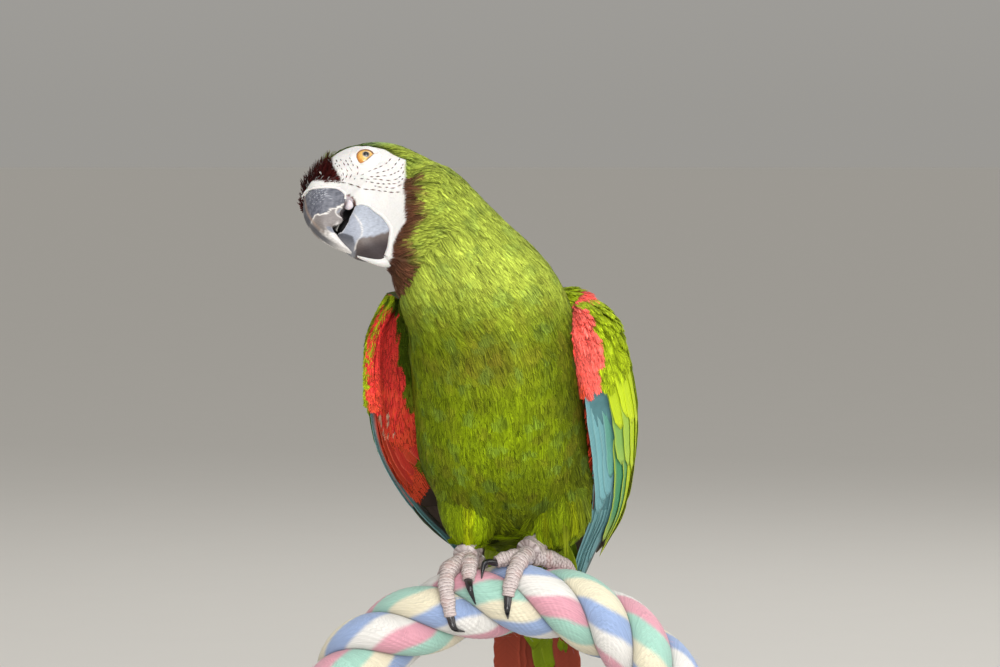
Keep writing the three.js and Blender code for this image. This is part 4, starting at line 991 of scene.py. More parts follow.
# Materials with an even grain: its size in millimetres, detail and stretch, the tones it takes the
# piece's colours between, its relief, the roughness it goes between, and the shader's values.
GRAINED = {
    # Bare facial skin: thin, dry and slightly translucent, with fine creases about 0.9 mm apart.
    "bare facial skin": (0.9, 4.0, (1, 1, 1), (0.93, 1.05), (0.22, 0.0004), None, dict(
        Roughness=0.6, Specular_IOR_Level=0.3, Subsurface_Weight=0.12, Subsurface_Scale=0.001)),
    # Bill: horn worn by rubbing, satin, with scuffs about 1.4 mm apart.
    "rubbed horn": (1.4, 6.0, (1, 1, 2.2), (0.78, 1.22), (0.25, 0.0003), (0.3, 0.55), dict(
        Specular_IOR_Level=0.45)),
    # Eye: wet cornea over a coloured iris, so a clear coat over a soft base.
    "wet eye": (0.5, 3.0, (1, 1, 1), (0.86, 1.12), None, None, dict(
        Roughness=0.3, Coat_Weight=1.0, Coat_Roughness=0.03)),
    # Feet: dry scaly skin, matt, with a fine uneven grain over the scutes.
    "scaly foot skin": (0.7, 5.0, (1, 1, 1), (0.75, 1.2), (0.4, 0.0004), None, dict(
        Roughness=0.68, Specular_IOR_Level=0.3)),
    # Claws: dark horn polished by use, with faint lengthwise grain.
    "polished dark horn": (0.8, 3.0, (3, 3, 1), (0.6, 1.5), (0.12, 0.0002), None, dict(
        Roughness=0.22, Specular_IOR_Level=0.6)),
}
PATTERNED = {
    "keratin contour feathers": contour_feather, "keratin flight feathers": flight_feather,
    "laid cotton": rope_cotton, "brushed stainless steel": rod_steel, "satin black lacquer": board_lacquer,
}


def finish(name):
    """The material of this name, made when it is first asked for."""
    if name in bpy.data.materials:
        return bpy.data.materials[name]
    if name in PATTERNED:
        PATTERNED[name](name)
    else:
        size, detail, stretch, tones, relief, rough, values = GRAINED[name]
        tree, shader = new_material(name, **values)
        pattern = grain(tree, size, detail, stretch)
        painted(tree, shader, pattern, *tones, relief=relief)
        if rough:
            roughened(tree, shader, pattern, *rough)
    return bpy.data.materials[name]


# ---- settings ---------------------------------------------------------------------------------


class MacawCoat(bpy.types.PropertyGroup):
    """Sizes of the skin and the small feathers."""

    voxel: FloatProperty(name="Skin detail", description="Size of the skin's faces", default=0.0012,
                         unit="LENGTH")
    depth: FloatProperty(name="Coat depth", description="From the skin to the feathers' outside on the body",
                         default=0.003, unit="LENGTH")
    length: FloatProperty(name="Breast feather", description="Length of a breast feather", default=0.0145,
                          unit="LENGTH")
    spacing: FloatProperty(name="Spacing", description="Between breast feathers", default=0.0023, unit="LENGTH")
    barbs: IntProperty(name="Barbs", description="Barbs drawn on each side of a small feather", default=12)


class MacawLights(bpy.types.PropertyGroup):
    """The studio's lights."""

    key: FloatProperty(name="Key light", description="Power of the large light", default=20.0, unit="POWER")
    fill: FloatProperty(name="Fill light", description="Power of the second light", default=27.0, unit="POWER")
    sky: FloatVectorProperty(name="Surround", description="Colour of the pale surround", subtype="COLOR",
                             default=tuple(linear("e4e2de")))
    floor: FloatVectorProperty(name="Floor", description="Colour of the floor", subtype="COLOR",
                               default=tuple(linear("d9d6d0")))


# ---- operators --------------------------------------------------------------------------------

SKIN = {}  # the finished skin's surface, for what stands on it
MOST_FEATHERS = 2150  # in one piece of the coat
# Camera: away from the rope, width of the frame there, and its middle beside and above the rope.
CAMERA_AWAY, FRAME_WIDTH, AIM_ASIDE, AIM_ABOVE = 2200.0, 510.0, -8.67, 135.915


def make_skin(context):
    coat = context.scene.macaw_coat
    rough = Shape()
    loft(rough, trunk_rings(60, 64))
    loft(rough, skull_rings(28, 96))
    for rows in THIGHS.values():
        loft(rough, limb_rings(rows, 20, 32))
    block = rough.build("skin_block", "bare facial skin", "body_feathers")
    remesh = block.modifiers.new("Remesh", "REMESH")
    remesh.mode, remesh.voxel_size = "VOXEL", coat.voxel
    even = block.modifiers.new("Smooth", "SMOOTH")
    even.factor, even.iterations = 0.5, 5
    graph = context.evaluated_depsgraph_get()
    made = bpy.data.meshes.new_from_object(block.evaluated_get(graph))
    bpy.data.objects.remove(block)
    count = len(made.vertices)
    if count < 5000:
        raise RuntimeError("the skin came out empty")
    points, normals = np.zeros(count * 3), np.zeros(count * 3)
    made.vertices.foreach_get("co", points)
    made.vertex_normals.foreach_get("vector", normals)
    points, normals = points.reshape(-1, 3) * 1000 - ROPE_TOP, normals.reshape(-1, 3)
    out = bare(points)
    depth = coat.depth * 1000 * (1 - 0.45 * near_head(points) * smooth(-38, -18, in_head(points)[0]))
    depth = depth * smooth(-0.5, 2.5, out)
    # the nape fills the dip behind the crown
    dip = np.hypot(points[:, 0] + 42, points[:, 2] - 218)
    depth = depth - 3.2 * np.exp(-((dip / 9) ** 2)) * smooth(0.5, 3, out)
    # the right flank swells over the thigh
    depth = depth - 3.6 * np.exp(-(((points[:, 2] - 60) / 26) ** 2)) * smooth(0, 0.8, -normals[:, 0])
    points = under_horn(points - normals * depth[:, None])
    quads = np.zeros(len(made.loops), np.int32)
    made.loops.foreach_get("vertex_index", quads)
    sizes = np.zeros(len(made.polygons), np.int32)
    made.polygons.foreach_get("loop_total", sizes)
    if not (sizes == 4).all():
        raise RuntimeError("the skin's faces aren't all quads")
    quads = quads.reshape(-1, 4)
    shape = Shape()
    shape.add(points, [quads], skin_colour(points))
    skin = shape.build("skin", "bare facial skin", "head_feathers_and_skin")
    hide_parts("torso", "neck", "head", "thigh_left", "thigh_right")
    SKIN.update(points=points, quads=quads, tree=BVHTree.FromPolygons(points.tolist(), quads.tolist()))


class MACAW_OT_skin(bpy.types.Operator):
    """One skin over trunk, neck, head and thighs, without seams"""

    bl_idname = "macaw.skin"
    bl_label = "Skin"

    def execute(self, context):
        make_skin(context)
        return {"FINISHED"}


def nearest_skin(points):
    found = [SKIN["tree"].find_nearest(Vector(p)) for p in points]
    return np.array([tuple(f[0]) for f in found]), np.array([tuple(f[1]) for f in found])


def spread_roots(seed, spacing, allowed):
    """Roots over the skin, no closer together than the spacing at each place."""
    rng = np.random.default_rng(seed)
    corners = SKIN["points"][SKIN["quads"]]
    area = np.linalg.norm(np.cross(corners[:, 2] - corners[:, 0], corners[:, 3] - corners[:, 1]), axis=1) / 2
    middle = corners.mean(1)
    weight = area * allowed(middle) / spacing(middle) ** 2
    tries = int(weight.sum() * 4.2)
    c = corners[rng.choice(len(corners), size=tries, p=weight / weight.sum())]
    a, b = rng.random(tries), rng.random(tries)
    spots = mix(mix(c[:, 0], c[:, 1], a), mix(c[:, 3], c[:, 2], a), b)
    gaps = spacing(spots) * 0.86
    cells = np.floor(spots / gaps.max()).astype(int).tolist()
    kept, filled = [], {}
    for i, (spot, gap, (x, y, z)) in enumerate(zip(spots.tolist(), gaps.tolist(), cells)):
        near = (filled.get((x + dx, y + dy, z + dz), ()) for dx, dy, dz in product((-1, 0, 1), repeat=3))
        if all(math.dist(spot, other) >= gap for cell in near for other in cell):
            filled.setdefault((x, y, z), []).append(spot)
            kept.append(i)
    return spots[kept]


def coat_sizes(points, coat):
    """Spacing, length and width of the feathers at each place, and where the head's are."""
    f, l, u = in_head(points)
    head = near_head(points) * smooth(-40, -16, f)
    neck = smooth(138, 168, points[:, 2]) * (1 - head)
    low = smooth(70, 45, points[:, 2])
    brow = head * smooth(11, 14, f) * (u > -14)
    spacing = coat.spacing * 1000 * (1 - 0.24 * neck - 0.5 * head) * (1 - 0.3 * brow)
    length = coat.length * 1000 * (1 - 0.26 * neck - 0.64 * head + 0.15 * low)
    width = length * (0.46 - 0.08 * neck - 0.12 * head - 0.06 * low)
    return spacing, length, width, head


def make_coat(context):
    coat = context.scene.macaw_coat
    roots = spread_roots(3, lambda p: coat_sizes(p, coat)[0], lambda p: bare(p) > 0.15)
    spot, out = nearest_skin(roots)
    f, l, u, s, t = (grid.ravel() for grid in upper_bill(90, 72))
    base = (s > 0.35 - 0.5 * (l < -2)) & (t > 0.04) & (t < 0.2 + 0.08 * smooth(1, -3, l)) & (l < 2.5)
    spot = np.vstack([spot, on_head(f[base], l[base], u[base])])
    out = np.vstack([out, unit(HEAD_F * 0.8 + HEAD_L * (l[base] / 7)[:, None] + HEAD_U * 0.5)])
    ridge = np.arange(len(spot)) >= len(roots)
    _, length, width, head = coat_sizes(spot, coat)
    rng = np.random.default_rng(7)
    f, l, u = in_head(spot)
    lie = level(lie_of_coat(spot) + 0.09 * rng.normal(size=spot.shape), out)
    front = head * smooth(11, 14, f) * (u > -14)
    front[ridge] = 1
    length = length * (1 + 0.1 * rng.normal(size=len(length))) * (1 + 0.1 * front)
    tips = spot + lie * length[:, None]
    bend = nearest_skin(tips)[0] - tips
    near_bare = smooth(3.0, 0.5, bare(spot)) * head
    rise = coat.depth * 1000 * (1 - 0.5 * head) * (1 + 0.2 * rng.random(len(spot)))
    rise = rise * (1 - 0.5 * near_bare * (1 - front)) + front * (2.2 + 0.8 * rng.random(len(spot)))
    over = smooth(-2.2, -0.4, bare(spot + lie * length[:, None] * 0.9))
    over[ridge] = 1
    length, width = length * (0.35 + 0.65 * over), width * (1 - 0.55 * front)
    colour = body_colour(spot)
    raised = (front * rng.uniform(0.2, 0.75, len(spot)))[:, None]
    lie, out = lie * np.cos(raised) + out * np.sin(raised), out * np.cos(raised) - lie * np.sin(raised)
    bend = bend * (1 - front)[:, None]
    rise = rise * (1 - front) + 0.6 * front
    colour[ridge] = MAROON
    lone = np.linalg.norm(spot - [-25, -24, 203], axis=1).argmin()
    colour[lone] = linear("e8743a")
    warm = mix(np.array([1.5, 1.3, 1.3]), np.array([1.9, 1.3, 1.3]), front > 0.5)
    edge = mix(colour * warm, mix(colour, EDGE_LIME, 0.25), green_like(colour))
    z = spot[:, 2]
    t, gap = np.transpose([thigh_place(spot, side) for side in THIGHS], (1, 0, 2))
    thigh = ((gap < 1.15) & (z < 60) & (t > 0.2)).any(0)
    plume = (gap.min(0) < 1.35) & (z < 76) & (z > 42) & (out[:, 1] < -0.72)
    length = length * (1 + 0.55 * thigh)
    ruff = (head > 0.4) & (colour[:, 0] > colour[:, 1] * 1.25) & (front < 0.5)
    length, width = length * (1 + 0.4 * ruff), width * (1 - 0.4 * ruff)
    fringe = (front > 0.5) & (bare(spot) < 0.9) & (f < 30) & ~ridge
    colour[fringe & (rng.random(len(spot)) < 0.5)] = FACE_WHITE * 0.9
    length = length * (1 - 0.65 * fringe)
    # long loose plumes hang over the thighs, as far as the ankles
    plume &= rng.random(len(spot)) < 0.3
    short = length
    length = np.where(plume, np.clip(2.3 * length, length, np.maximum(z - 27, length)), length)
    bend = bend * ((length / short) ** 2)[:, None]
    width, rise = np.where(plume, 5.0, width), rise + 0.9 * plume
    colour = mix(colour, colour * [1.45, 1.25, 1.1], plume)
    behind = (spot - TRUNK_LINE[trunk_place(spot), :3])[:, 1] > 4
    body, low = (head <= 0.5) & (z <= 150), z <= 100
    pieces = {
        "head": (head > 0.5) & (front <= 0.5), "forehead": front > 0.5, "neck": (head <= 0.5) & (z > 150),
        "breast": body & ~behind & ~low, "belly": body & low & ~behind & ~thigh,
        "back": body & behind & ~thigh, "thighs": body & low & thigh,
    }
    feathers = spot, lie, out, length, width, rise, bend, colour, edge, unwrap_skin(spot)
    for number, (name, use) in enumerate(pieces.items()):
        picked = np.flatnonzero(use)
        for half in range(1 + len(picked) // MOST_FEATHERS):
            k = picked[half * MOST_FEATHERS:(half + 1) * MOST_FEATHERS]
            shape = Shape()
            contour_feathers(shape, [values[k] for values in feathers], 20 + number + 10 * half,
                             coat.barbs if name != "forehead" else 5, 0.3 if name == "thighs" else 0.1)
            slot = "head_feathers_and_skin" if "head" in name else "body_feathers"
            title = f"coat_{name}" + (f"_{half + 1}" if half else "")
            shape.build(title, "keratin contour feathers", slot, bake=True)


class MACAW_OT_coat(bpy.types.Operator):
    """Contour feathers over crown, neck, breast, back, belly and thighs"""

    bl_idname = "macaw.coat"
    bl_label = "Contour feathers"

    def execute(self, context):
        make_coat(context)
        return {"FINISHED"}


def on_cheek(f, u, side):
    """Places on the skin of the head's side, and which way is out there."""
    found = []
    for start in on_head(f, side * 40.0, u).reshape(-1, 3):
        hit = SKIN["tree"].ray_cast(Vector(start), Vector(-side * HEAD_L))
        found.append(hit[:2] if hit[0] else SKIN["tree"].find_nearest(Vector(start))[:2])
    return np.array(found).transpose(1, 0, 2)


def fold(shape, path, radii, colour, sides=16):
    """A soft fold of skin along a path of f, l, u."""
    rows = along(np.c_[path, radii], steps(70))
    loft(shape, limb_rings(np.c_[on_head(*rows[:, :3].T), rows[:, 3]], 70, sides), colour)


def cheek_lines(shape):
    """Dark bristle feathers in rows over both cheeks."""
    rng = np.random.default_rng(31)
    for side in (1, -1):
        for row, dash, gap in [(row, 2.3, 0.8) for row in FACE_ROWS] + [(CHEEK_LINE, 3.1, 0.4)]:
            line = along(row, steps(90))
            run = run_along(line)
            place = rng.random() * 0.5
            while place < run[-1] - 0.3:
                size = dash * (0.7 + 0.6 * rng.random())
                ends = np.clip([place, place + size], 0, run[-1])
                ends = [np.interp(ends, run, value) for value in line.T]
                at, out = on_cheek(*(np.transpose(ends) + 0.12 * rng.normal(size=2)).T, side)
                across = unit(np.cross(unit(at[1] - at[0]), out[0])) * (0.21 + 0.1 * rng.random())
                middle = at.mean(0)
                points = np.array([at[0], middle + across, at[1], middle - across, middle])
                points = points + out[0] * np.array([0.03, 0.2, 0.34, 0.2, 0.42])[:, None]
                tone = mix(MAROON, CHESTNUT, rng.random()) * (0.6 + 0.3 * rng.random())
                spot = unwrap_skin(at[:1])[0] + 0.001 * rng.random((5, 2))
                shape.add(points, [[[0, 1, 4], [1, 2, 4], [2, 3, 4], [3, 0, 4]]], tone, spot)
                place += size + gap * (0.5 + rng.random())


def make_face():
    shape = Shape()
    cheek_lines(shape)
    shape.build("face_bristles", "keratin contour feathers", "head_feathers_and_skin", bake=True)

    folds = Shape()
    upper, lower = upper_bill(90, 72), lower_bill(90, 72)
    for side in (1, -1):
        for bill, edge, count, high, back, thick in (
                (upper, UPPER_HORN[:8], 26, -0.1, 0, 0.75), (lower, LOWER_HORN[:10], 30, 0.1, 0.5, 1.6)):
            f, u = along(edge, steps(count)).T
            path = np.c_[f - back, side * (side_level(bill, f, u) + high), u]
            fold(folds, path, np.linspace(0.5, thick, count), FACE_WHITE)
        # flesh at the corner of the mouth, darkening towards the front and top under the upper bill: painted shade
        outline = [[11.4, -11.8], [9.2, -15.6], [10, -18.4], [12.6, -19.8], [14.8, -18.6], [13.2, -15.4]]
        q = np.cos(np.linspace(0, 1.5, 14))[:, None]
        f, u = (a * (1 - q) + b * q for a, b in zip((11.8, -16.2), loop(outline, steps(41)[:-1]).T))
        flesh = mix(linear("d6cdd1"), linear("8c7f86"), smooth(-1.2, 1.6, f - 13 + 0.35 * (u + 17)))
        loft(folds, on_head(f, side * (8.6 + 2.4 * np.sqrt(1 - q ** 2) + 0 * f), u), flesh)
    # chin: a lip of skin under the lower bill
    chin = [[-3, 0, -46.6], [1, 0, -48.4], [5, 0, -47.8], [9, 0, -45.4], [13, 0, -42.6], [15.2, 0, -41.2]]
    fold(folds, chin, [3.4, 3.2, 2.4, 1.9, 1.4, 0.8], FACE_WHITE, 24)
    folds.build("face_folds", "bare facial skin", "head_feathers_and_skin")

    # a black tongue filling the mouth, which also gives the gape its painted shade
    tongue = Shape()
    angle, q = turns(32), np.linspace(-1.5, 1.5, 20)[:, None]
    loft(tongue, on_head(14 + 6.5 * np.sin(q) + 0 * angle, 5 * np.cos(q) * np.cos(angle),
                         -24.5 + 4.2 * np.cos(q) * np.sin(angle) - 2 * np.sin(q)), MOUTH_AND_SHADE_BLACK)
    tongue.build("tongue", "bare facial skin", "head_feathers_and_skin")

    holes = Shape()
    for side in (1, -1):
        at, out = on_cheek(20, 1.9, side)
        a = unit(np.cross(out, HEAD_U))
        radius, high = np.array([(0.42, -0.3), (0.36, 2.3), (0.28, 2.5), (0.18, 2.4), (0.1, 2.2)]).T[..., None]
        rings = rings_round(at + out * high, a, np.cross(out, a), radius, radius, turns(24))
        # painted shade in each nostril: darker rings going in, black at its middle
        tones = np.array([FACE_WHITE * 0.5, FACE_WHITE * 0.7, FACE_WHITE * 0.6, CHESTNUT * 0.4, MOUTH_AND_SHADE_BLACK])
        loft(holes, rings, np.repeat(tones[:, None], 24, axis=1))
    holes.build("nostrils", "bare facial skin", "head_feathers_and_skin")


class MACAW_OT_face(bpy.types.Operator):
    """Bristle feathers in rows on the bare cheeks, skin folds round the horn, and the nostrils"""

    bl_idname = "macaw.face"
    bl_label = "Face"

    def execute(self, context):
        make_face()
        return {"FINISHED"}


def make_eyes():
    for side, name in ((1, "left"), (-1, "right")):
        shape = Shape()
        theta, phi = np.linspace(0, np.pi, 64)[:, None], turns(96)
        axis = unit(np.array([-0.08, 0.98, 0.1]))
        a = unit(np.cross(axis, [0, 0, 1.0]))
        away = EYE_RADIUS * np.sin(theta)
        middle = EYE_AT + axis * (EYE_RADIUS * EYE_DEPTH * np.cos(theta))
        f, l, u = np.moveaxis(rings_round(middle, a, np.cross(axis, a), away, away, phi), -1, 0)
        ring = away + 0 * phi + (theta > 1.6) * 9
        rays = 0.05 * np.sin(phi * 23) + 0.05 * np.sin(phi * 37 + 1)
        iris = layered(linear("c9832c"), ("eab65a", smooth(4.4, 2.7, ring + rays)),
                       ("8d8377", smooth(2.1, 1.7, ring + rays)), ("050505", smooth(1.5, 1.35, ring)),
                       ("7a4a22", smooth(4.5, 5.0, ring)))
        loft(shape, on_head(f, side * l, u), iris)
        eye = shape.build(f"eyeball_{name}", "wet eye", "eye")
        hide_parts(f"eye_{name}")
    lids = Shape()
    for side in (1, -1):
        count = 120
        edge = loop(EYE_OPENING, steps(count + 1)[:-1])
        size = np.minimum(np.linalg.norm(edge, axis=1), EYE_RADIUS * 0.96)
        way = unit(edge)
        rings, tones = [], []
        tiers = [(-0.1, -0.7, "4c3424"), (-0.06, 0.0, "5b3f2c"), (-0.02, 0.3, "6d5240"), (0.05, 0.46, "a08a7e"),
                 (0.11, 0.5, "d8cfca"), (0.2, 0.42, "e9e7e4"), (0.35, 0.2, "e9e7e4"), (0.55, 0.12, "e9e7e4"),
                 (0.8, 0.08, "e9e7e4"), (1.0, 0.0, "e9e7e4"), (1.06, -0.8, "e9e7e4")]
        for share, high, tone in tiers:
            r = size + (7.8 - size) * share
            f, u = EYE_AT[0] + way[:, 0] * r, EYE_AT[2] + way[:, 1] * r
            out = globe(size) + (skull_side(f, u) - globe(size)) * smooth(0, 0.85, share) + high
            rings.append(on_head(f, side * out, u))
            tones.append(np.tile(linear(tone), (count, 1)))
        faces = grid_faces(len(rings), count, closed=True)
        lids.add(rings, [faces if side < 0 else faces[:, ::-1]], tones)
    lids.build("eyelids", "bare facial skin", "head_feathers_and_skin")


class MACAW_OT_eyes(bpy.types.Operator):
    """Eyeballs with orange irises, and the eyelids round them"""

    bl_idname = "macaw.eyes"
    bl_label = "Eyes"

    def execute(self, context):
        make_eyes()
        return {"FINISHED"}


def make_bill():
    f, l, u, s, t = upper_bill()
    world = on_head(f, l, u)
    over = u - np.interp(f, *PLATE_EDGE[::-1].T)
    mottle, fine = waves(world, 2.4, 41), waves(world, 0.9, 42)
    above = over + 0.25 * mottle
    middle = smooth(-10.5, -6, over + 0.8 * mottle) * smooth(36, 30, f + 0.6 * (u + 20))
    plate = mix(linear("4b4d58"), linear("777983"), np.clip(0.4 + 0.35 * mottle + 0.3 * fine, 0, 1))
    scuff = (fine > 0.62) & (u < -4) & (u > -13) & (f > 20) & (f < 30) & (above > 0.4)
    ridge = np.exp(-(((np.abs(l) - 4.4 * smooth(0.05, 0.3, t)) / 0.9) ** 2)) * (s > 0.3)
    grey = smooth(-10, -16, u) * smooth(0.3, 0.8, s) * smooth(3.6, 1.4, np.abs(l))
    a, b = f - 24.8, u + 26.7
    spot = np.hypot((0.74 * a + 0.67 * b) / 2.7, (0.67 * a - 0.74 * b) / 1.1)
    lobe = np.hypot((f - 17.8) / 2.3, (u + 20.2) / 2.6)
    colour = layered(
        linear("dad6d3"), ("736b69", middle * 0.92), ("e9e4de", np.exp(-((above + 0.1) / 0.34) ** 2)),
        (plate, smooth(0.1, 0.5, above)), ("b4b6bc", 0.75 * scuff),
        ("a58f80", 0.75 * ridge * smooth(0.08, 0.16, t) * smooth(0.75, 0.5, t)),
        ("44454e", 0.9 * grey * smooth(0.96, 0.7, t)),
        ("6f7482", 0.85 * smooth(1.1, 0.75, spot) * (np.abs(l) > 3)),
        ("85878f", smooth(0.95, 0.7, lobe) * smooth(0.3, 0.9, mottle + 0.6)),
        ("e2ded9", 0.8 * np.exp(-((lobe - 1) / 0.14) ** 2) * (above < 0.2)),
        # painted shade: black inside the hollow underside of the upper bill
        (MOUTH_AND_SHADE_BLACK * 2, smooth(0.64, 0.72, -s) * smooth(0.9, 0.7, t)))
    shape = Shape()
    loft(shape, world, colour)
    upper = shape.build("upper_bill", "rubbed horn", "upper_bill_horn")
    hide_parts("upper_beak")

    f, l, u, over = lower_bill()
    world = on_head(f, l, u)
    mottle = waves(world, 3.0, 51)
    border = np.interp(f, [-5, -2.2, 0.3, 6.1, 10.9, 14.4], [-35.6, -36.4, -37.2, -38.0, -37.1, -36.6])
    base = mix(linear("675c58"), linear("3a3133"), smooth(-37, -43, u))
    line = np.interp(u, [-46, -38.7, -37, -36, -33.4, -30.2, -26.6, -22.2, -18],
                     [19, 16.1, 14.5, 12.4, 11.1, 10.8, 11.6, 12.4, 13])
    ahead, wedge = f - line, u + 30 + (20.7 - f)
    dark = mix(linear("4a4b53"), linear("7f8088"), smooth(-1.5, -6, wedge))
    colour = layered(
        linear("aab0bc"), ("8b909d", np.clip(0.35 + 0.4 * mottle, 0, 1) * 0.5),
        (base, smooth(0.7, -0.7, u - border + 0.3 * mottle)), ("9ca1ae", smooth(0.0, 0.5, ahead) * (u < -24)),
        (dark, smooth(0.4, -0.5, wedge) * smooth(15.8, 16.6, f) * 0.92),
        ("d8d4d0", 0.9 * np.exp(-((ahead / 0.4) ** 2)) * smooth(-22, -26, u) * (u > -40)),
        # a pale band under the cutting edge, and black inside it: painted shade in the mouth
        ("d5d4d6", 0.6 * smooth(-0.9, -0.3, over)), (MOUTH_AND_SHADE_BLACK * 2, smooth(0.25, 0.6, over)))
    shape = Shape()
    loft(shape, world, colour)
    lower = shape.build("lower_bill", "rubbed horn", "lower_bill_horn")
    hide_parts("lower_beak")


class MACAW_OT_bill(bpy.types.Operator):
    """Upper and lower bill in worn horn, with the tooth of the cutting edge"""

    bl_idname = "macaw.bill"
    bl_label = "Bill"

    def execute(self, context):
        make_bill()
        return {"FINISHED"}


def small_feathers(side, seed):
    """Marginal and shoulder coverts on both faces and round the leading edge."""
    rng = np.random.default_rng(seed)
    spots = []
    for face, end in ((1, 0.28), (-1, 0.6), (0, 0.33 if side == "right" else 0.58)):
        for u in np.arange(0.0, end, 0.013 if face else 0.008):
            wide = np.linalg.norm(wing_point(side, u, 0.5) - wing_point(side, u, 0.0)) * 2
            count = max(8, int(wide / 3.0)) if face else 5
            for k in range(count):
                v = (k + rng.random()) / count if face else 0.0
                spots.append((u + 0.006 * rng.normal(), v, face, (k - 2) * 0.45 + 0.15 * rng.normal()))
    u, v, face, turn = np.array(spots).T
    u, v = np.clip(u, 0, 0.6), np.clip(v, 0, 1)
    at, down, across, normal = wing_frame(side, u, v)
    flesh, rim = wing_flesh(u, v) * 0.72, face == 0
    turn = np.where(rim, turn, 0)
    edge_out = unit(-across * np.cos(turn)[:, None] + normal * np.sin(turn)[:, None])
    out = np.where(rim[:, None], edge_out, normal * face[:, None])
    lifted = np.where(rim, 0.1, flesh)
    root = at + out * lifted[:, None] + np.where(rim[:, None], normal * (flesh * np.sin(turn))[:, None], 0)
    sweep = np.where(rim, 0.35 * (u < 0.32), 0.1)
    lie = level(unit(down + across * sweep[:, None] + 0.025 * rng.normal(size=down.shape)), out)
    upper = (face > 0) | (rim & (turn > 0.25))
    noise = rng.normal(size=(3, len(u)))
    border = np.interp(u, [0.05, 0.12, 0.2, 0.23, 0.3], [0.07, 0.09, 0.115, 0.07, 0.06])
    left = side == "left"
    border = border * left + 0.01 * noise[0]
    # painted light: the bird's left wing gets the lightened red, the right wing the plain red
    red = (LIT_RED if left else RED) * (0.94 + 0.12 * rng.random((len(u), 1)))
    colour = layered(
        FLIGHT_GREEN, (BACK_GREEN, 0.25 * rng.random(len(u))),
        (red, (upper & (v < border) & (u > 0.055) & ~rim) | (left & rim & (u > 0.05))),
        (LIT_RED, left & (u < 0.035) & (v < 0.7)))
    spot = np.hypot((u - 0.37) / 0.05, (v - 0.2) / 0.14) < 1
    patch = np.hypot((u - 0.285) / 0.03, (v - 0.57) / 0.06) < 1
    patch |= np.hypot((u - 0.485) / 0.035, (v - 0.5) / 0.1) < 1
    # painted shade: dark green on the lining next to the body and along the top of the wing
    painted_shade = v > np.interp(u, [0, 0.2, 0.3, 0.42], [0.4, 0.48, 0.62, 1.1]) + 0.02 * noise[2]
    lining = layered(
        red, (ORANGE, smooth(0.15, 0.5, u + 0.08 * noise[1])), ("f6cdb0", spot & (noise[2] > 0.9)),
        (BACK_GREEN * 0.4, painted_shade | (u < 0.03)), (mix(BACK_GREEN, OLIVE, 0.5), patch))
    low = (u >= (0.285 if left else 0.325) + 0.01 * noise[0]) & rim
    keep = ~((face < 0) & ((v > np.interp(u, *DUSKY_EDGE)) | (u > 0.3) & (v < 0.08))) & ~(low & (turn > -0.3))
    keep &= ~((face > 0) & np.where(v < 0.13, u > 0.272, u > 0.19 + 0.05 * noise[0]))
    # painted light: the lining 1.4 times lighter, and its rim 1.05 times, in the wing's shaded underside
    colour = layered(colour, (lining * np.where(rim, 1.05, 1.4)[:, None], ~upper), (ORANGE * 1.2, low))
    edge = mix(colour, mix(colour * 1.15, EDGE_LIME, green_like(colour)), 0.3)
    length = 8.5 + 4 * smooth(0.05, 0.25, u) + 0.6 * rng.normal(size=len(u))
    length = np.where(rim, 9 - 4.5 * low, length + 3.5 * (face < 0) * smooth(0.1, 0.4, u))
    rise = np.where(rim, 0.5, 1.0 + (face > 0) * (0.2 + 0.8 * smooth(0.0, 0.2, u)))
    place = np.stack([0.03 + 0.9 * v / 1.05 + 0.03 * (face + 1), 0.03 + 0.9 * u + 0.01 * face], -1)
    shape = Shape()
    feathers = root, lie, out, length, length * (0.66 - 0.2 * low), rise, 0 * root, colour, edge, place
    contour_feathers(shape, [values[keep] for values in feathers], seed + 7, 10, 0.07)
    if left:
        shoulder(shape)
    shape.build(f"wing_coverts_{side}", "keratin contour feathers", "wing_feathers", bake=True)


def shoulder(shape):
    """Feathers that close the left shoulder over, between the breast and the wing."""
    rng = np.random.default_rng(207)
    way = unit(rng.normal(size=(620, 3)))
    way = way[(way[:, 2] > -0.6) & (way[:, 0] > -0.35)]
    root, out = SHOULDER[0] + way * SHOULDER[1], unit(way / SHOULDER[1])
    lie = level(np.array([0.5, 0.1, -0.9]) + 0.05 * rng.normal(size=way.shape), out)
    noise = rng.normal(size=len(way))
    red = (np.hypot((root[:, 0] - 34) / 7, (root[:, 2] - 156) / 7) < 1 + 0.1 * noise)[:, None]
    colour = np.where(red, LIT_RED, mix(FLIGHT_GREEN, GREEN, 0.5))
    edge = np.where(red, LIT_RED * 1.1, EDGE_LIME)
    place = np.stack([0.95 + 0.02 * way[:, 0], 0.9 + 0.04 * way[:, 2]], -1)
    length = 9 + noise
    feathers = root, lie, out, length, length * 0.55, 0.7 + 0 * noise, 0 * root, colour, edge, place
    contour_feathers(shape, feathers, 208, 10)


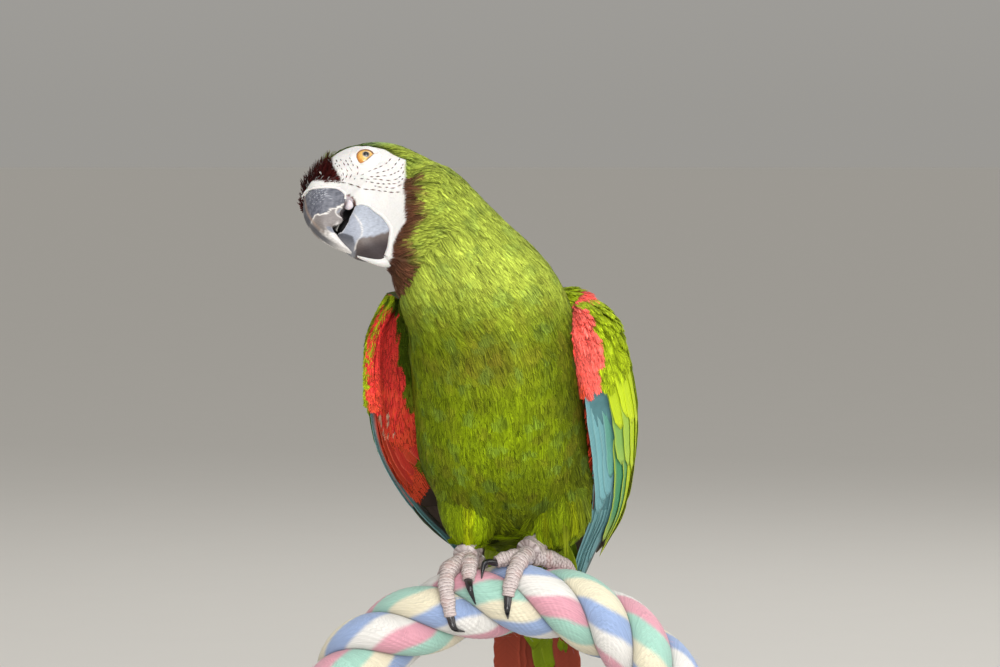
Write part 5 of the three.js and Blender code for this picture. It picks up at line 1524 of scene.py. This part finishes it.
def make_wings():
    for number, side in enumerate(("left", "right")):
        u, v = np.meshgrid(np.linspace(0, 0.66, 40), steps(36), indexing="ij")
        at, down, across, normal = wing_frame(side, u.ravel(), v.ravel())
        flesh = (wing_flesh(u, v) * 0.72).ravel()[:, None]
        both = np.concatenate([at + normal * flesh, at - normal * flesh])
        # the wing's skin in the feathers' colours, most darkened: painted shade under the feathers
        upper = layered(
            DEEP_GREEN * 0.8, (BLUE * 0.7, (v < 0.2) & (u > 0.28)), (LIT_RED * 0.6, (v < 0.1) & (u < 0.28)))
        lining = layered(
            mix(RED, ORANGE, smooth(0.2, 0.5, u)) * 0.6, (DEEP_GREEN * 0.6, (v > 0.6) | (u < 0.05)),
            (DUSK * 2.2, v > np.interp(u, *DUSKY_EDGE)))
        faces = grid_faces(*u.shape)
        shape = Shape()
        shape.add(both, [faces, faces[:, ::-1] + u.size], [upper, lining])
        shape.add(both, rim_faces(*u.shape)[:3], [upper, lining])
        if side == "left":
            polar, turn = np.meshgrid(np.linspace(0.01, 3.13, 20), turns(32), indexing="ij")
            ball = np.stack([np.sin(polar) * np.cos(turn), np.sin(polar) * np.sin(turn), -np.cos(polar)], -1)
            loft(shape, SHOULDER[0] + ball * (SHOULDER[1] - 0.8), DEEP_GREEN * 0.8)
        skin = shape.build(f"wing_skin_{side}", "keratin contour feathers", "wing_feathers")
        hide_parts(f"wing_{side}")
        for face, tiers in (("upper", UPPER_TIERS), ("under", UNDER_TIERS)):
            shape = Shape()
            wing_feathers(shape, side, tiers, 100 + number * 10 + (face == "under"))
            shape.build(f"wing_{face}_feathers_{side}", "keratin flight feathers", "wing_feathers", bake=True)
        small_feathers(side, 200 + number)


class MACAW_OT_wings(bpy.types.Operator):
    """Both wings: skin, flight feathers, coverts and the small feathers of the bend"""

    bl_idname = "macaw.wings"
    bl_label = "Wings"

    def execute(self, context):
        make_wings()
        return {"FINISHED"}


def green_like(colour):
    return colour[:, 1] > colour[:, 0] * 1.02


def make_tail():
    down = unit(TAIL_ALONG)
    yaw = math.radians(TAIL_YAW)
    left = level([math.cos(yaw), -math.sin(yaw), 0], down)
    rear = np.cross(left, down)
    rng = np.random.default_rng(61)
    shape = Shape()
    t = steps(40)
    for pair, length in enumerate(TAIL_LENGTHS):
        for side in (1, -1):
            fan, order = math.radians(TAIL_SPREAD * (pair - 1)) * side, 2 * pair + (side > 0)
            run = length * t
            across = side * (2.2 + 2.5 * pair) + math.sin(fan) * run
            settle = -TAIL_STEP * order * np.minimum(1, 3 * t) - 0.0012 * across ** 2
            at = (TAIL_ROOT + down * (math.cos(fan) * run)[:, None] + left * across[:, None]
                  + rear * (settle - 0.00016 * run ** 2)[:, None])
            wide = fullness(t) * (1 + 0.04 * rng.normal())
            point = np.where(t > 0.62, np.sqrt(np.clip(1 - ((t - 0.62) / 0.4) ** 2, 0.02, 1)), 1)
            hue = TAIL_RED * (0.9 + 0.2 * rng.random())
            upper = web_colours(mix(hue, TAIL_BLUE, 0.25), hue, edge=TAIL_BLUE, tip=TAIL_BLUE, fade=0.95)
            lower = web_colours(hue, hue * 1.1, edge=hue * 1.3)
            wide = wide * point
            vane_feather(shape, at, left * side, rear, 7.6 * wide, 6.4 * wide, 0.03, upper, lower, 600 + order,
                         np.array([0.1 + 0.06 * order, 0.5]), thick=0.3, curl=0.003)
    tail = shape.build("tail_feathers", "keratin flight feathers", "tail_feathers", bake=True)
    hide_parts("tail")

    covers = Shape()
    for face, count, reach, high, hue in ((1, 16, 44, 3.2, BACK_GREEN), (-1, 22, 56, -3.6, GREEN)):
        for i in range(count):
            share = (i + 0.5) / count
            across = 17 * (2 * ((i * 0.618) % 1) - 1)
            hangs = face < 0 and -1 < across < 9
            length = reach * (0.75 + 0.3 * rng.random()) + 28 * hangs
            s = steps(14)[:, None]
            sway = 0.1 * rng.normal() + across * 0.006
            at = (TAIL_ROOT + down * (30 * share - 16 + length * s) + left * (across + sway * length * s)
                  + rear * (high * (1.9 - 1.1 * s) - 8 * hangs * s - face * 0.6 * share * (1 - s)))
            wide = fullness(s[:, 0]) * (1 + 0.1 * rng.normal())
            tone = hue * (0.85 + 0.3 * rng.random()) * (1 - 0.4 * hangs)
            blue = mix(tone, TEAL, 0.35) if face > 0 else tone
            paint = web_colours(tone, tone * 0.9, edge=mix(tone, EDGE_LIME, 0.5), tip=blue)
            spot = np.array([0.1 + 0.02 * i, 0.2 + 0.3 * (face > 0)])
            vane_feather(covers, at, left, rear * face, 5.4 * wide, 5.4 * wide, 0.02 * rng.normal(),
                         paint, paint, 700 + i + (face > 0) * 40, spot, curl=0.012)
    covers.build("tail_coverts", "keratin flight feathers", "body_feathers", bake=True)


class MACAW_OT_tail(bpy.types.Operator):
    """Twelve graduated tail feathers, and the coverts over and under their roots"""

    bl_idname = "macaw.tail"
    bl_label = "Tail"

    def execute(self, context):
        make_tail()
        return {"FINISHED"}


def rope_height(x):
    path = along(ROPE_ARCH, steps(400))
    return float(np.interp(x, path[:, 0], path[:, 2]))


def pressed(row, standoff):
    """A place on a toe or claw, drawn in until it stands off the rope by no more than this."""
    x, y, z = row[:3]
    centre = rope_height(x)
    scale = min(1.0, (ROPE_RADIUS + standoff) / math.hypot(y, z - centre))
    return [x, y * scale, centre + (z - centre) * scale, *row[3:]]


def scaly(rows, number):
    """Rings and colours of one toe or shank, with scutes over its back and small scales below."""
    length = run_along(rows[:, :3])[-1]
    rings, sides = max(40, int(length / 0.3)), 40
    t = steps(rings)[:, None]
    centre = np.stack([rows[:, 0], 0 * rows[:, 0], [rope_height(x) for x in rows[:, 0]]], -1)
    middle = along(rows, steps(rings))[:, :3]
    outward = unit(middle - along(centre, steps(rings)))
    plain = limb_rings(rows, rings, sides)
    radial = unit(plain - middle[:, None])
    back = smooth(0.05, 0.4, (radial * outward[:, None]).sum(-1))
    saw = ((t * length + 0.35 * waves(plain, 6, 70 + number)) / SCUTE) % 1
    scute = np.where(saw < 0.8, saw / 0.8, (1 - saw) / 0.2)
    lumps = waves(plain, 1.5, 80 + number)
    joints = 0.25 * np.cos(t * np.pi * 2 * (len(rows) - 1))
    lift = back * (0.32 * scute - 0.06) + (1 - back) * 0.22 * lumps + joints
    ends = np.minimum(1, (1 - t) * 14) if number < 4 else 1
    crack = back * smooth(0.84, 0.93, saw) + (1 - back) * smooth(0.1, -0.5, lumps) * 0.65
    rim = back * smooth(0.55, 0.78, saw) * (saw < 0.84)
    pale = np.clip(rim + 0.35 * smooth(0.2, 0.8, lumps) * (1 - back), 0, 1)
    blush = 0.25 * smooth(0.2, 0.9, waves(plain, 9, 90)) * (1 - np.clip(rim, 0, 1))
    colour = layered(
        linear("c2b3b0"), ("4f3b37", np.clip(crack, 0, 1) * 0.8), ("eae0de", pale * 0.8), ("b98a82", blush))
    return plain + radial * (lift * ends)[..., None], colour


def make_feet():
    for name, foot in FEET.items():
        shape = Shape()
        parts = [[pressed(row, row[3] - TOE_SINK) for row in rows] for rows in foot["toes"]]
        parts.append([pressed(row, row[3] - TOE_SINK + SHANK_RISE[i]) for i, row in enumerate(foot["shank"])])
        for number, rows in enumerate(parts):
            loft(shape, *scaly(np.array(rows, float), number))
        made = shape.build(f"foot_skin_{name}", "scaly foot skin", "foot_skin")
        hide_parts(f"foot_{name}")
        for number, rows in enumerate(foot["claws"]):
            bent = np.array([[*pressed(row, arch), radius, radius * 0.85]
                             for row, arch, radius in zip(rows, CLAW_ARCH, CLAW_RADII)])
            start = np.append(bent[0, :3] + (bent[0, :3] - bent[1, :3]) * 0.35, bent[0, 3:] * 0.98)
            rings = limb_rings(np.vstack([start, bent]), 60, 32)
            t = steps(60)[:, None] + np.zeros(32)
            colour = mix(linear("3b3637"), linear("17161a"), smooth(0.2, 0.7, t))
            colour = mix(colour, linear("8c7f79"), 0.6 * smooth(0.22, 0.1, t))
            shape = Shape()
            loft(shape, rings, colour)
            claw = shape.build(f"claw_horn_{name}_{number + 1}", "polished dark horn", "claw_horn")
            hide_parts(f"claw_{name}_{number + 1}")


class MACAW_OT_feet(bpy.types.Operator):
    """Scaly feet and their claws, gripping the rope"""

    bl_idname = "macaw.feet"
    bl_label = "Feet and claws"

    def execute(self, context):
        make_feet()
        return {"FINISHED"}


YARNS = ("98add4", "e8e5e0", "dd9fad", "a4cfbf", "e8dfc4")  # blue, white, pink, mint, cream


def fibres(shape, at, axis, across, upright, turn, middle, tones, stations, seed):
    """Loose cotton fibres that stand a little off the strand."""
    rng = np.random.default_rng(300 + seed)
    count = 900
    k = rng.integers(2, len(at) - 3, count)
    lobe = rng.uniform(-0.85, 0.85, count) * np.pi / 3
    angle = lobe + middle + turn[k]
    radius = ROPE_VALLEY + (ROPE_RADIUS - ROPE_VALLEY) * np.abs(np.cos(lobe * 1.5)) ** 0.62
    out = across * np.cos(angle)[:, None] + upright[k] * np.sin(angle)[:, None]
    root = at[k] + out * (radius - 0.05)[:, None]
    way = unit(axis[k] + 0.35 * rng.normal(size=(count, 3)))
    side = unit(np.cross(way, out)) * 0.05
    length = rng.uniform(2.5, 6.5, count)[:, None]
    lift = rng.uniform(0.1, 0.9, count)[:, None]
    mid = root + way * length * 0.5 + out * lift
    tip = root + way * length + out * lift * rng.uniform(-0.4, 1.6, count)[:, None]
    points = np.stack([root - side, root + side, mid + side, mid - side, tip], 1)
    band = (angle / (2 * np.pi) * 10 + seed * 1.75 + 0.004 * stations[k]) % 5
    colour = tones[band.astype(int)] * 1.02
    first = np.arange(count)[:, None] * 5
    shape.add(points, [first + [0, 1, 2, 3], first + [3, 2, 4]], np.repeat(colour, 5, axis=0))


def make_rope():
    t = steps(900)
    path = along(ROPE_ARCH, t)
    run = run_along(path)
    groove = np.interp(ROPE_GROOVE, path[:, 0], run)
    stations = np.linspace(0, run[-1], 420)
    t = np.interp(stations, run, t)
    at, axis = along(ROPE_ARCH, t), heading(ROPE_ARCH, t)
    across = np.array([0, 1.0, 0])
    upright = np.cross(axis, across)
    turn = 2 * np.pi * (stations - groove) / ROPE_LAY
    lobe = np.linspace(-1, 1, 41) * np.pi / 3
    bulge = np.abs(np.cos(lobe * 1.5)) ** 0.62
    tones = np.array([linear(code) for code in YARNS])
    for number in range(3):
        middle = 2 * np.pi / 3 * number
        ripple = 0.12 * np.sin(lobe * 31 + stations[:, None] * 0.08 + number)
        radius = ROPE_VALLEY + (ROPE_RADIUS - ROPE_VALLEY + ripple) * bulge
        angle = lobe + middle + turn[:, None]
        rings = np.concatenate([at[:, None], rings_round(at, across, upright, radius, radius, angle)], 1)
        band = (angle / (2 * np.pi) * 10 + number * 1.75 + 0.004 * stations[:, None]
                + 0.07 * np.sin(stations[:, None] * 0.21 + number)) % 5
        low = np.floor(band).astype(int)
        colour = mix(tones[low], tones[(low + 1) % 5], smooth(0.9, 1.0, band - low))
        # painted shade: darker towards each strand's edges, in the grooves where strands meet, and dark at the
        # strand's middle inside the rope
        colour = colour * (0.55 + 0.45 * bulge[:, None] ** 0.5)
        colour = np.concatenate([colour[:, :1] * 0.3, colour], 1)
        pattern = np.stack([radius * (lobe + turn[:, None]), stations[:, None] + 0 * radius], -1) * 0.001
        pattern = np.concatenate([pattern[:, :1], pattern], 1)
        shape = Shape()
        loft(shape, rings, colour, pattern)
        fibres(shape, at, axis, across, upright, turn, middle, tones, stations, number)
        made = shape.build(f"rope_yarns_{number + 1}", "laid cotton", "perch_cotton")
        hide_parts(f"perch_strand_{number + 1}")


class MACAW_OT_rope(bpy.types.Operator):
    """The rope perch: three laid strands of coloured cotton, with loose fibres"""

    bl_idname = "macaw.rope"
    bl_label = "Rope"

    def execute(self, context):
        make_rope()
        return {"FINISHED"}


def lathe(shape, profile, x, y, sides=72):
    """A turned form on an upright axis through x, y, from rows of radius and height."""
    radius, height = np.array(profile, float).T[..., None]
    middle = np.array([x, y, 0]) + height * [0, 0, 1]
    loft(shape, rings_round(middle, np.array([1, 0, 0]), np.array([0, 1, 0]), radius, radius, turns(sides)))


def make_stand():
    width, depth, height, corner = BASE
    inner = np.repeat([(1, 1), (-1, 1), (-1, -1), (1, -1)], 17, axis=0)
    inner = inner * (width / 2 - corner, depth / 2 - corner)
    angle = np.radians(np.concatenate([start + np.linspace(0, 90, 17) for start in (0, 90, 180, 270)]))
    away = np.stack([np.cos(angle), np.sin(angle)], -1)
    rings = []
    for inset, z in ((3, 0), (0.6, 0), (0.15, 0.3), (0, 0.9), (0, height - 2.0), (0.25, height - 1.1),
                     (0.9, height - 0.35), (1.8, height), (6, height)):
        rings.append(np.c_[inner + away * (corner - inset), np.full(len(inner), z)])
    shape = Shape()
    loft(shape, np.array(rings))
    made = shape.build("stand_board", "satin black lacquer", "stand_lacquer", on_rope=False)
    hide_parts("stand_base")
    for side, end in (("right", ROPE_ARCH[0]), ("left", ROPE_ARCH[-1])):
        x, y = end[0], ROPE_TOP[1]
        top = ROPE_TOP[2] + end[2] - 0.3
        r, low = FERRULE[0], top - FERRULE[1]
        cup = Shape()
        lathe(cup, [(6.5, low), (r - 1.4, low), (r - 0.4, low + 0.4), (r, low + 1.4), (r, low + 4.6),
                    (r - 0.5, low + 5.2), (r - 0.5, low + 5.8), (r, low + 6.4), (r, top - 1.2),
                    (r - 0.4, top - 0.3), (r - 1.2, top), (14, top)], x, y)
        cup = cup.build(f"stand_cup_{side}", "brushed stainless steel", "stand_steel", on_rope=False)
        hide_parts(f"stand_cap_{side}")
        rod = Shape()
        r = ROD_RADIUS
        lathe(rod, [(r, height + 0.3), (r, (height + low) / 2), (r, low - 0.3)], x, y, 48)
        collar = height + 2.2
        lathe(rod, [(r + 3.4, height), (r + 3.4, height + 1.6), (r + 2.8, collar), (r - 0.5, collar)], x, y, 48)
        rod = rod.build(f"stand_post_{side}", "brushed stainless steel", "stand_steel", on_rope=False)
        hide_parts(f"stand_rod_{side}")


class MACAW_OT_stand(bpy.types.Operator):
    """Display stand: lacquered base, two steel rods and the caps that hold the rope's ends"""

    bl_idname = "macaw.stand"
    bl_label = "Stand"

    def execute(self, context):
        make_stand()
        return {"FINISHED"}


def make_stage(context):
    scene = context.scene
    lights = scene.macaw_lights
    floor_colour, sky_colour = np.array(lights.floor), np.array(lights.sky)
    tree, shader = new_material("matt pale floor", Roughness=0.9)
    shaded(tree, shader.inputs["Base Color"], grain(tree, 60.0), floor_colour, floor_colour * 1.02)
    mesh = bpy.data.meshes.new("floor")
    size = 30.0
    corners = [(-size, -size, 0), (size, -size, 0), (size, size, 0), (-size, size, 0)]
    mesh.from_pydata(corners, [], [(0, 1, 2, 3)])
    mesh.materials.append(bpy.data.materials["matt pale floor"])
    floor = bpy.data.objects.new("floor", mesh)
    scene.collection.objects.link(floor)
    world = bpy.data.worlds.new("studio")
    world.use_nodes = True
    back = world.node_tree.nodes["Background"]
    way = add_node(world.node_tree, "ShaderNodeTexCoord").outputs["Generated"]
    height = add_node(world.node_tree, "ShaderNodeSeparateXYZ", Vector=way).outputs["Z"]
    shade = shaded(world.node_tree, back.inputs["Color"], height, floor_colour * 0.79, sky_colour)
    shade.color_ramp.elements[1].position = 0.3
    back.inputs["Strength"].default_value = 0.6
    scene.world = world
    for name, place, size, power in (
        ("key", (0.3, -1.9, 1.9), 1.3, lights.key), ("fill", (0.1, -2.35, 0.5), 1.0, lights.fill),
        ("spark", (0.62, -1.0, 2.0), 0.45, lights.key * 0.25),
        ("side", (1.9, -0.6, 1.1), 1.4, lights.fill * 0.5), ("rim", (0.4, 1.7, 1.8), 1.6, lights.fill * 0.45),
    ):
        light = bpy.data.lights.new(name, "AREA")
        light.energy, light.size = power, size
        lamp = bpy.data.objects.new(name, light)
        lamp.location = place
        lamp.rotation_euler = (Vector((0, 0, 0.3)) - Vector(place)).to_track_quat("-Z", "Y").to_euler()
        scene.collection.objects.link(lamp)
    tilt = math.radians(3)
    ahead = Vector((0, math.cos(tilt), -math.sin(tilt)))
    rise = Vector((0, math.sin(tilt), math.cos(tilt)))
    aim = Vector(ROPE_TOP) + Vector((AIM_ASIDE, 0, 0)) + rise * AIM_ABOVE
    lens = bpy.data.cameras.new("camera")
    lens.sensor_width = 36.0
    lens.lens = 36.0 * CAMERA_AWAY / FRAME_WIDTH
    lens.clip_start, lens.clip_end = 0.05, 200.0
    camera = bpy.data.objects.new("camera", lens)
    camera.location = (aim - ahead * CAMERA_AWAY) * 0.001
    camera.rotation_euler = ahead.to_track_quat("-Z", "Y").to_euler()
    scene.collection.objects.link(camera)
    scene.camera = camera
    scene.view_settings.view_transform = "Standard"


class MACAW_OT_stage(bpy.types.Operator):
    """Pale floor, soft studio lights and the camera"""

    bl_idname = "macaw.stage"
    bl_label = "Stage"

    def execute(self, context):
        make_stage(context)
        return {"FINISHED"}


class MACAW_PT_panel(bpy.types.Panel):
    """The macaw's pieces"""

    bl_idname = "MACAW_PT_panel"
    bl_label = "Macaw"
    bl_space_type = "VIEW_3D"
    bl_region_type = "UI"
    bl_category = "Macaw"

    def draw(self, context):
        for group in (context.scene.macaw_coat, context.scene.macaw_lights):
            for name in group.__annotations__:
                self.layout.prop(group, name)
        for operator in OPERATORS:
            self.layout.operator(operator.bl_idname)


OPERATORS = (
    MACAW_OT_stage, MACAW_OT_skin, MACAW_OT_coat, MACAW_OT_face, MACAW_OT_eyes, MACAW_OT_bill, MACAW_OT_wings,
    MACAW_OT_tail, MACAW_OT_feet, MACAW_OT_rope, MACAW_OT_stand,
)


def register():
    for group in (MacawCoat, MacawLights, *OPERATORS, MACAW_PT_panel):
        bpy.utils.register_class(group)
    bpy.types.Scene.macaw_coat = PointerProperty(type=MacawCoat)
    bpy.types.Scene.macaw_lights = PointerProperty(type=MacawLights)


def unregister():
    del bpy.types.Scene.macaw_coat
    del bpy.types.Scene.macaw_lights
    for group in reversed((MacawCoat, MacawLights, *OPERATORS, MACAW_PT_panel)):
        bpy.utils.unregister_class(group)


def main():
    register()
    for piece in ("stage", "skin", "coat", "face", "eyes", "bill", "wings", "tail", "feet", "rope", "stand"):
        getattr(bpy.ops.macaw, piece)()


if __name__ == "__main__":
    main()
